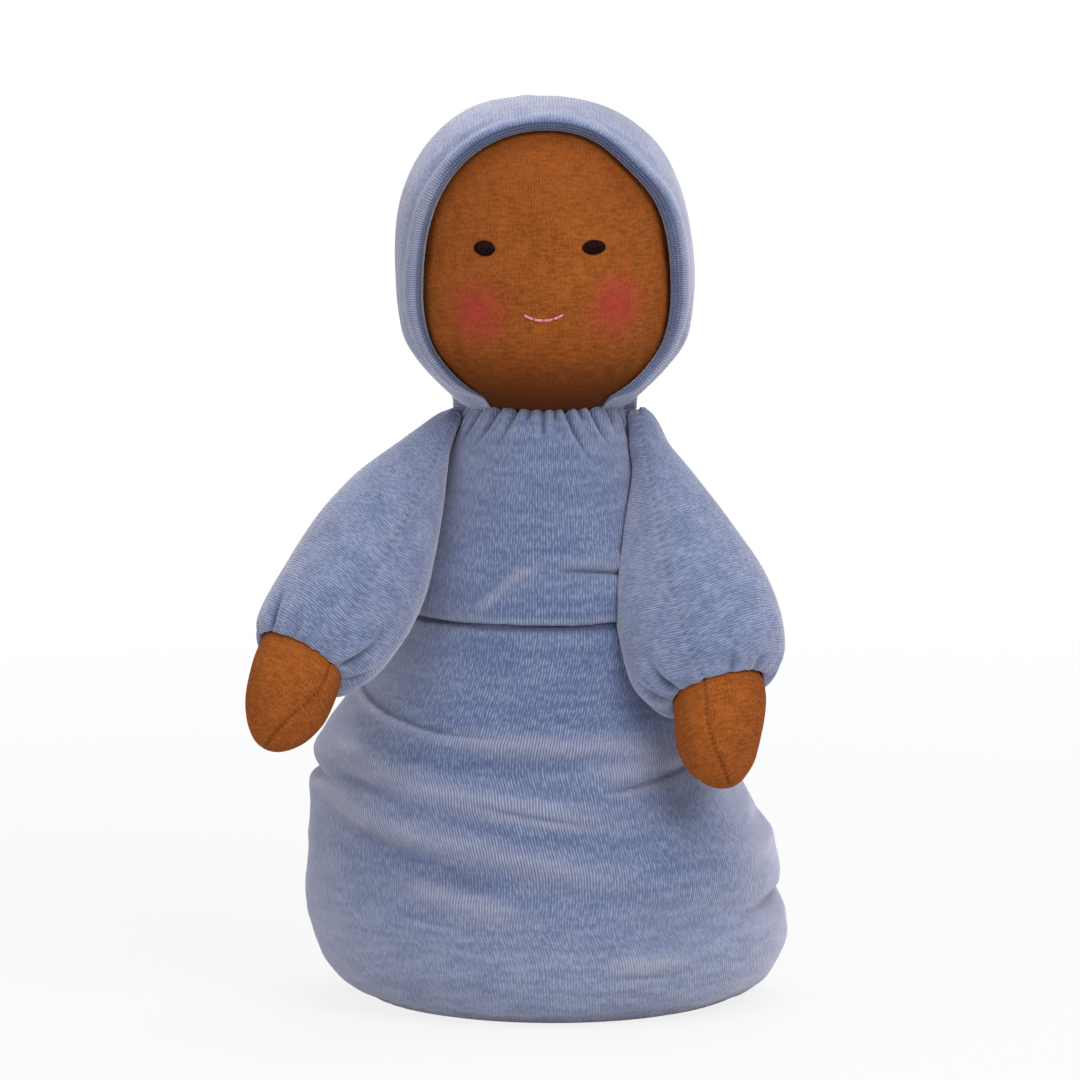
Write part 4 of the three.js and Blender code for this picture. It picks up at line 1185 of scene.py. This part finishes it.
hood = as_piece(draw_rows(hood_place, HOOD_ROWS, HOOD_COLUMNS, hood_cloth, closed=False), "hood_cloth", velour_hood)
refine(hood)
places = corners_of(hood) / MM
hood_along = np.interp(cloth_of(hood)[:, 1], hood_run, np.arange(HOOD_ROWS))
hood_degrees = (cloth_of(hood)[:, 0] / HOOD_CLOTH_WIDTH * 2 - 1) * RIM_END_DEGREES
section = np.arange(len(RIM_SECTION))
lined = 1 - ease((-hood_degrees - 28) / 26)
shade_share = np.interp(hood_along, section, [row[2] for row in RIM_SECTION], right=0)
# The painted shade is weaker towards the doll's left, and past the ninth row it stays only where the rim has lines
shade_share *= (1 - (1 - lined) * ease((hood_along - 9) / 2)) * (1.2 - 0.85 * ease((hood_degrees - 40) / 30))
# The ribs show where the roll turns, and the cloth stands off the crown a little to one side
ribbed = hill(hood_along - 12.5, 3.5) * (1 - lined) + hill(hood_along - 15, 2.5) * ease((hood_degrees - 50) / 30)
lift = 0.4 * lumps(places, 20, 8) * ease((hood_along - 13) / 3)
upper = ease((places[:, 2] - 300) / 30) * ease((hood_along - 18) / 2)
lift += upper * np.where(places[:, 0] < 0, 1.3, -0.7) * ease(np.abs(places[:, 0]) / 30)
lift += 0.7 * hill(places[:, 0] + 8, 4) * hill(places[:, 1] - 2, 14) * (places[:, 2] > 370)
lift_cloth(hood, places, lift)
# Painted light on the hood's outer surface behind the roll, weaker towards the doll's left
brushed_and_lit = ease((hood_along - 13) / 4) * (0.75 - 0.75 * ease((hood_degrees - 40) / 40))
set_shares(hood, Crest=0.9 * ribbed, Deep=shade_share, Brushed=brushed_and_lit)
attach(hood, "head")
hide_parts("hood", "hood_hem")
print("hood faces:", len(hood.data.polygons))

# %% [markdown]
# ## Sleeves
# A sleeve is a tube sewn up along its front, narrow and twisted where it is tied at the shoulder, full
# below the elbow and gathered tight round the hand. It is drawn in the arm's own frame, where the arm
# hangs straight down from the shoulder, and then put on the arm. Where it presses on the gown it is
# pushed out to lie against it.

# %% Where the arms are
ARM_LENGTH = 113.0
# Degrees outwards and forwards, how far the arm bows outwards at the wrist in mm, and where the seams run
ARMS = {
    "right": {"out": 31.5, "forward": 31.0, "bow": -6.0, "sleeve_seam": 0.47, "hand_seam": 0.41},
    "left": {"out": -16.5, "forward": 28.0, "bow": 0.0, "sleeve_seam": 0.53, "hand_seam": 0.535},
}
for joint in frame["joints"]:
    if joint["name"].endswith("arm_swing"):
        ARMS[joint["name"].split("_")[0]]["pivot"] = Vector(joint["pos_m"]) / MM


def arm_matrix(arm):
    lean = Matrix.Rotation(math.radians(arm["out"]), 4, "Y")
    swing = Matrix.Rotation(math.radians(-arm["forward"]), 4, "X")
    return Matrix.Translation(arm["pivot"]) @ lean @ swing


def on_arm(arm, across, back, down):
    """A place in the arm's own frame, with its bow, put where the arm hangs. All in mm."""
    bow = arm["bow"] * min(1.0, max(0.0, down / ARM_LENGTH)) ** 1.5
    return arm["matrix"] @ Vector((across, back, -down)) + Vector((bow, 0, 0))


for side, arm in ARMS.items():
    arm["matrix"] = arm_matrix(arm)
    wrist = on_arm(arm, 0, 0, ARM_LENGTH)
    print(side, "wrist in mm:", [round(x, 1) for x in wrist])

# %% The sleeve's outline, in mm
# Distance down the arm, reach outwards, reach towards the body, and half depth
SLEEVE_STATIONS = {
    "right": [
        (-9.0, 0.6, 0.6, 0.6), (-8.6, 2.0, 5.0, 3.4), (-7.0, 3.0, 7.4, 5.4), (-4.2, 4.8, 7.0, 7.6),
        (1.0, 7.4, 5.6, 9.6), (9.0, 11.1, 7.0, 11.2), (18.0, 14.5, 10.6, 13.0), (28.0, 18.2, 14.9, 15.5),
        (41.0, 22.5, 20.1, 18.4), (54.0, 25.4, 24.9, 20.8), (68.0, 26.4, 29.8, 22.8), (82.0, 26.3, 31.8, 24.0),
        (93.0, 26.0, 32.2, 24.2), (101.0, 25.2, 31.6, 23.4), (107.0, 24.2, 29.8, 22.0),
        (112.0, 22.8, 27.0, 20.2), (115.6, 21.2, 24.0, 18.4), (118.0, 19.6, 21.2, 16.8),
        (119.0, 18.6, 19.2, 15.8), (117.6, 18.2, 18.6, 15.4), (110.0, 17.4, 17.6, 15.0),
    ],
    "left": [
        (-9.0, 0.6, 0.6, 0.6), (-8.6, 2.0, 5.0, 3.4), (-7.0, 3.0, 7.8, 5.4), (-4.2, 4.8, 9.2, 7.6),
        (1.0, 6.2, 9.8, 9.6), (9.0, 7.6, 10.7, 11.2), (18.0, 11.2, 11.8, 13.0), (28.0, 15.4, 16.2, 15.5),
        (41.0, 20.4, 22.6, 18.6), (54.0, 24.7, 28.0, 21.0), (68.0, 29.6, 32.0, 23.2), (82.0, 32.6, 33.9, 24.6),
        (93.0, 33.4, 34.6, 24.8), (101.0, 33.0, 34.2, 24.0), (107.0, 31.6, 32.6, 22.6),
        (112.0, 28.8, 29.6, 20.6), (115.6, 25.0, 26.0, 18.8), (118.0, 21.6, 22.4, 17.4),
        (118.8, 19.6, 20.2, 16.6), (117.5, 19.2, 19.6, 16.2), (110.0, 18.4, 18.6, 15.6),
    ],
}
# Tucks above the cuff: share round the sleeve, depth in mm, width as a share, and where it ends higher up
SLEEVE_TUCKS = {
    "right": [
        (0.662, 2.6, 0.016, 0.78), (0.56, 1.1, 0.012, 0.86), (0.372, 3.0, 0.015, 0.74), (0.30, 1.4, 0.014, 0.84),
        (0.80, 1.8, 0.014, 0.8), (0.91, 1.8, 0.014, 0.82), (0.04, 1.8, 0.014, 0.8), (0.16, 1.8, 0.014, 0.82)],
    "left": [
        (0.44, 1.3, 0.010, 0.80), (0.36, 1.0, 0.012, 0.86), (0.628, 2.6, 0.014, 0.76), (0.70, 2.4, 0.014, 0.8),
        (0.20, 1.8, 0.014, 0.8), (0.09, 1.8, 0.014, 0.82), (0.96, 1.8, 0.014, 0.8), (0.84, 1.8, 0.014, 0.82)],
}
SLEEVE_ROWS = 90
SLEEVE_CORNERS = 84
SLEEVE_CLOTH_WIDTH = 0.17
SLEEVE_STITCH = 3.4
# How far the ribs tip up towards the seam, in mm from the seam to once round
RIB_TIP = 34.0
# The rows past this share of the cloth are turned in at the cuff
CUFF_EDGE = 0.955
CUFF_PUCKERS = 19


# %% The sleeve's form: it droops towards the back at the cuff, and lies against the gown
def out_of_gown(point, gap):
    """Moves a point that is inside the gown straight out to its surface and a gap beyond, in mm."""
    outer = GOWN_RUN[: np.argmax(GOWN_RUN[:, 0]) + 1]
    order = np.argsort(outer[:, 0])
    _, right, left, depth = (np.interp(point.z, outer[order, 0], outer[order, i]) for i in range(4))
    middle, half = (left + right) / 2, (left - right) / 2
    x, y = (point.x - middle) / (half + gap), point.y / (depth + gap)
    away = math.hypot(x, y)
    if away >= 1 or point.z > GOWN_RUN[:, 0].max():
        return point
    return Vector((middle + (point.x - middle) / away, point.y / away, point.z))


def sleeve_place(side, arm, shares, run):
    towards_body = 1 if side == "right" else -1

    def place(around, along):
        down, outwards, inwards, depth = (np.interp(along, shares, run[:, i]) for i in range(4))
        across, back = math.sin(FULL_TURN * around), math.cos(FULL_TURN * around)
        half = inwards if across * towards_body > 0 else outwards
        hang = max(0.0, back + 0.75 * max(0.0, across * towards_body)) / 1.25
        droop = 6.0 * smooth_step((down - 76) / 32) * hang ** 1.5
        return out_of_gown(on_arm(arm, half * across, (depth + 0.4 * droop) * back, down + droop), 1.2) * MM
    return place


# %% The two sleeves
for side, arm in ARMS.items():
    seam = arm["sleeve_seam"]
    shares, run, length = smooth_track(SLEEVE_STATIONS[side])

    def sleeve_cloth(around, along, seam=seam, length=length):
        """The ribs run across the arm and tip up towards the front seam on both sides."""
        away = abs(around - seam)
        return (around * SLEEVE_CLOTH_WIDTH, (along * length + RIB_TIP * away) * MM)

    sleeve = as_piece(
        draw_rows(sleeve_place(side, arm, shares, run), SLEEVE_ROWS, SLEEVE_CORNERS, sleeve_cloth),
        f"{side}_sleeve_cloth", velour_sleeve)
    refine(sleeve)
    places = corners_of(sleeve) / MM
    cloth_places = cloth_of(sleeve)
    around = cloth_places[:, 0] / SLEEVE_CLOTH_WIDTH
    along = (cloth_places[:, 1] / MM - RIB_TIP * np.abs(around - seam)) / length
    # The seam is a groove with a small stitch at each step, between two low rolls, with painted shade at each stitch
    girth = np.interp(along, shares, run[:, 1]) * FULL_TURN * 0.9
    from_seam = (around - seam) * girth
    stitch = 0.5 + 0.5 * np.cos(FULL_TURN * along * length / SLEEVE_STITCH)
    lift = -(0.2 + 0.45 * stitch) * hill(from_seam, 0.9) + 0.25 * hill(np.abs(from_seam) - 2.2, 1.1)
    shade_share = 0.5 * stitch ** 2 * hill(from_seam, 1.0)
    # Puckers above the cuff, with painted shade between them, and a few twisted creases at the shoulder
    cuff = ease((along - 0.8) / 0.12)
    shoulder = ease((0.24 - along) / 0.2)
    puckers = np.sin(FULL_TURN * around * CUFF_PUCKERS + 2.2 * np.sin(FULL_TURN * around * 3))
    lift += cuff * 0.14 * puckers + shoulder * 0.25 * np.sin(FULL_TURN * (around * 7 + along * 5))
    shade_share += 0.12 * cuff * np.clip(-puckers, 0, 1)
    crest = 0.15 * cuff * np.clip(puckers, 0, 1) + 0.4 * (1 - stitch) * hill(from_seam, 1.3)
    for share, depth, width, high_end in SLEEVE_TUCKS[side]:
        away = (around - share + 0.5) % 1 - 0.5
        grown = ease((along - high_end) / (0.9 - high_end)) * ease((0.95 - along) / 0.05)
        lift += -depth * grown * hill(away, width)
        lift += 0.4 * depth * grown * hill(np.abs(away) - 2.2 * width, 1.5 * width)
        # Painted shade in the bottom of each tuck
        shade_share += 0.3 * depth * grown * hill(away, 0.6 * width)
    lift += 0.5 * lumps(places, 17, 6)
    lift_cloth(sleeve, places, np.where(along > CUFF_EDGE, 0, lift))
    # Paler nap all over the sleeve, and painted sheen towards its two sides
    brushed_and_lit = 0.36 + 0.35 * np.abs(np.sin(FULL_TURN * around)) ** 2
    set_shares(sleeve, Crest=crest, Deep=shade_share, Brushed=brushed_and_lit)
    start, end = on_arm(arm, 0, 0, ARM_LENGTH - 12), on_arm(arm, 0, 0, ARM_LENGTH + 2)
    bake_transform(sleeve, f"{side}_arm", f"{side}_hand", start=start * MM, end=end * MM)
    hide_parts(f"{side}_sleeve", f"{side}_arm_wool")
    print(side, "sleeve faces:", len(sleeve.data.polygons))

# %% [markdown]
# ## Hands
# A hand is a small jersey bag with a seam down its front, filled hard with wool and closed to a blunt
# point. Rows from the tip to the ball in the cuff give its form, and the seam is a groove with small
# stitches that pull the cloth in every two millimetres.

# %% The hand's outline
# Distance down from the wrist, and half width, in mm
HAND_STATIONS = [
    (47.6, 0.8), (47.0, 3.7), (45.4, 6.8), (43.2, 9.4), (40.6, 11.8), (37.2, 14.1), (33.4, 15.9), (28.6, 17.6),
    (24.0, 18.8), (17.0, 19.5), (9.0, 19.4), (3.0, 18.2), (-2.0, 15.8), (-9.0, 11.8), (-14.0, 6.0),
    (-15.6, 1.0),
]
# How far the middle of the hand bends aside at each distance down, and how wide the hand is
HAND_BENDS = {
    "right": ([0, 12, 25, 38, 50.7], [0, 2.0, 3.9, 5.0, 5.6], 0.97),
    "left": ([0, 8, 15, 22, 28, 35, 50.5], [0, -0.4, -1.6, -3.6, -5.2, -6.3, -6.4], 1.0),
}
HAND_DEPTH_SHARE = 0.84
HAND_CLOTH_WIDTH = 112.0
STITCH_SPACING = 2.1
# The wool inside is drawn smaller about the hand's middle, and in fewer rows
HAND_MIDDLE = 18.0
WOOL_SHRINK = 0.88
HAND_ROWS, HAND_CORNERS = 48, 60
WOOL_ROWS, WOOL_CORNERS = 24, 32
HAND_SHARES, HAND_RUN, HAND_LENGTH = smooth_track(HAND_STATIONS)
print("hand's cloth in mm:", HAND_CLOTH_WIDTH, "by", round(HAND_LENGTH))


def hand_cloth(around, along):
    return (around * HAND_CLOTH_WIDTH * MM, along * HAND_LENGTH * MM)


# %% The two hands, with their wool
for side, arm in ARMS.items():
    bend_downs, bend_sides, width = HAND_BENDS[side]

    def hand_place(around, along, shrink=1.0, arm=arm, downs=bend_downs, sides=bend_sides, width=width):
        down, half = (np.interp(along, HAND_SHARES, HAND_RUN[:, i]) for i in range(2))
        angle = FULL_TURN * around
        half = 0.0 if along in (0, 1) else half * width * shrink
        down = HAND_MIDDLE + (down - HAND_MIDDLE) * shrink
        across = half * math.sin(angle) + np.interp(down, downs, sides)
        return on_arm(arm, across, half * HAND_DEPTH_SHARE * math.cos(angle), down + ARM_LENGTH) * MM

    hand = as_piece(
        draw_rows(hand_place, HAND_ROWS, HAND_CORNERS, hand_cloth), f"{side}_hand_jersey", jersey_hand)
    refine(hand)
    places = corners_of(hand) / MM
    cloth_places = cloth_of(hand) / MM
    along = cloth_places[:, 1] / HAND_LENGTH
    half = np.interp(along, HAND_SHARES, HAND_RUN[:, 1])
    seam_share = arm["hand_seam"] + (0.5 - arm["hand_seam"]) * ease((0.55 - along) / 0.5)
    from_seam = (cloth_places[:, 0] / HAND_CLOTH_WIDTH - seam_share) * FULL_TURN * half * 0.92
    stitch = 0.5 + 0.5 * np.cos(FULL_TURN * cloth_places[:, 1] / STITCH_SPACING)
    lift = -(0.4 + 0.4 * stitch) * hill(from_seam, 0.7) + 0.2 * hill(np.abs(from_seam) - 1.6, 0.9)
    lift_cloth(hand, places, lift + 0.25 * lumps(places, 11, 7))
    # Painted shade along the seam's groove, darkest at each stitch
    set_shares(hand, Seam=0.75 * stitch * hill(from_seam, 0.7))
    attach(hand, f"{side}_hand")
    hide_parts(f"{side}_hand_skin")
    print(side, "hand faces:", len(hand.data.polygons))

    def wool_place(around, along, place=hand_place):
        return place(around, along, shrink=WOOL_SHRINK)

    wool = as_piece(
        draw_rows(wool_place, WOOL_ROWS, WOOL_CORNERS, hand_cloth), f"{side}_hand_filling", carded_wool)
    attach(wool, f"{side}_hand")
    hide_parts(f"{side}_hand_wool")

# %% [markdown]
# ## Wool where the folds are deep
# The folds of the gown and the gathers of the sleeves sink further than the smooth CAD filling allows,
# so the body's wool is drawn again, a little smaller, inside the gown.

# %% The body's wool
# How far it lies inside the cloth, its lowest and highest points in mm, and its rows and corners
FILLING_INSET = 7.0
FILLING_FOOT, FILLING_TOP = 3.0, 205.0
FILLING_ROWS, FILLING_CORNERS = 40, 64


def filling_place(around, along):
    height, middle, half, depth = gown_at(0.02 + 0.9 * along)
    shrink = 0.0 if along in (0, 1) else 1.0
    height = min(max(height, FILLING_FOOT), FILLING_TOP)
    return oval(around, middle, shrink * (half - FILLING_INSET), shrink * (depth - FILLING_INSET), height)


filling = as_piece(
    draw_rows(filling_place, FILLING_ROWS, FILLING_CORNERS, lambda around, along: (around * 0.5, along * 0.3)),
    "body_filling", carded_wool)
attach(filling, "torso")
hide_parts("body_wool")
print("filling corners:", len(filling.data.vertices))

# %% [markdown]
# ## The two boxes
# Some cloth stands a little proud of the CAD model's box, so both boxes are printed side by side. The
# dressed doll has to stay in the CAD model's box, but for a little cloth that stands proud.

# %% The two boxes, and the end
look_low, look_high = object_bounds()
boxes = {"cad": [list(cad_low), list(cad_high)], "visual": [list(look_low), list(look_high)]}
for name, (low, high) in boxes.items():
    print(name, [round(1000 * x, 1) for x in (*low, *high)])
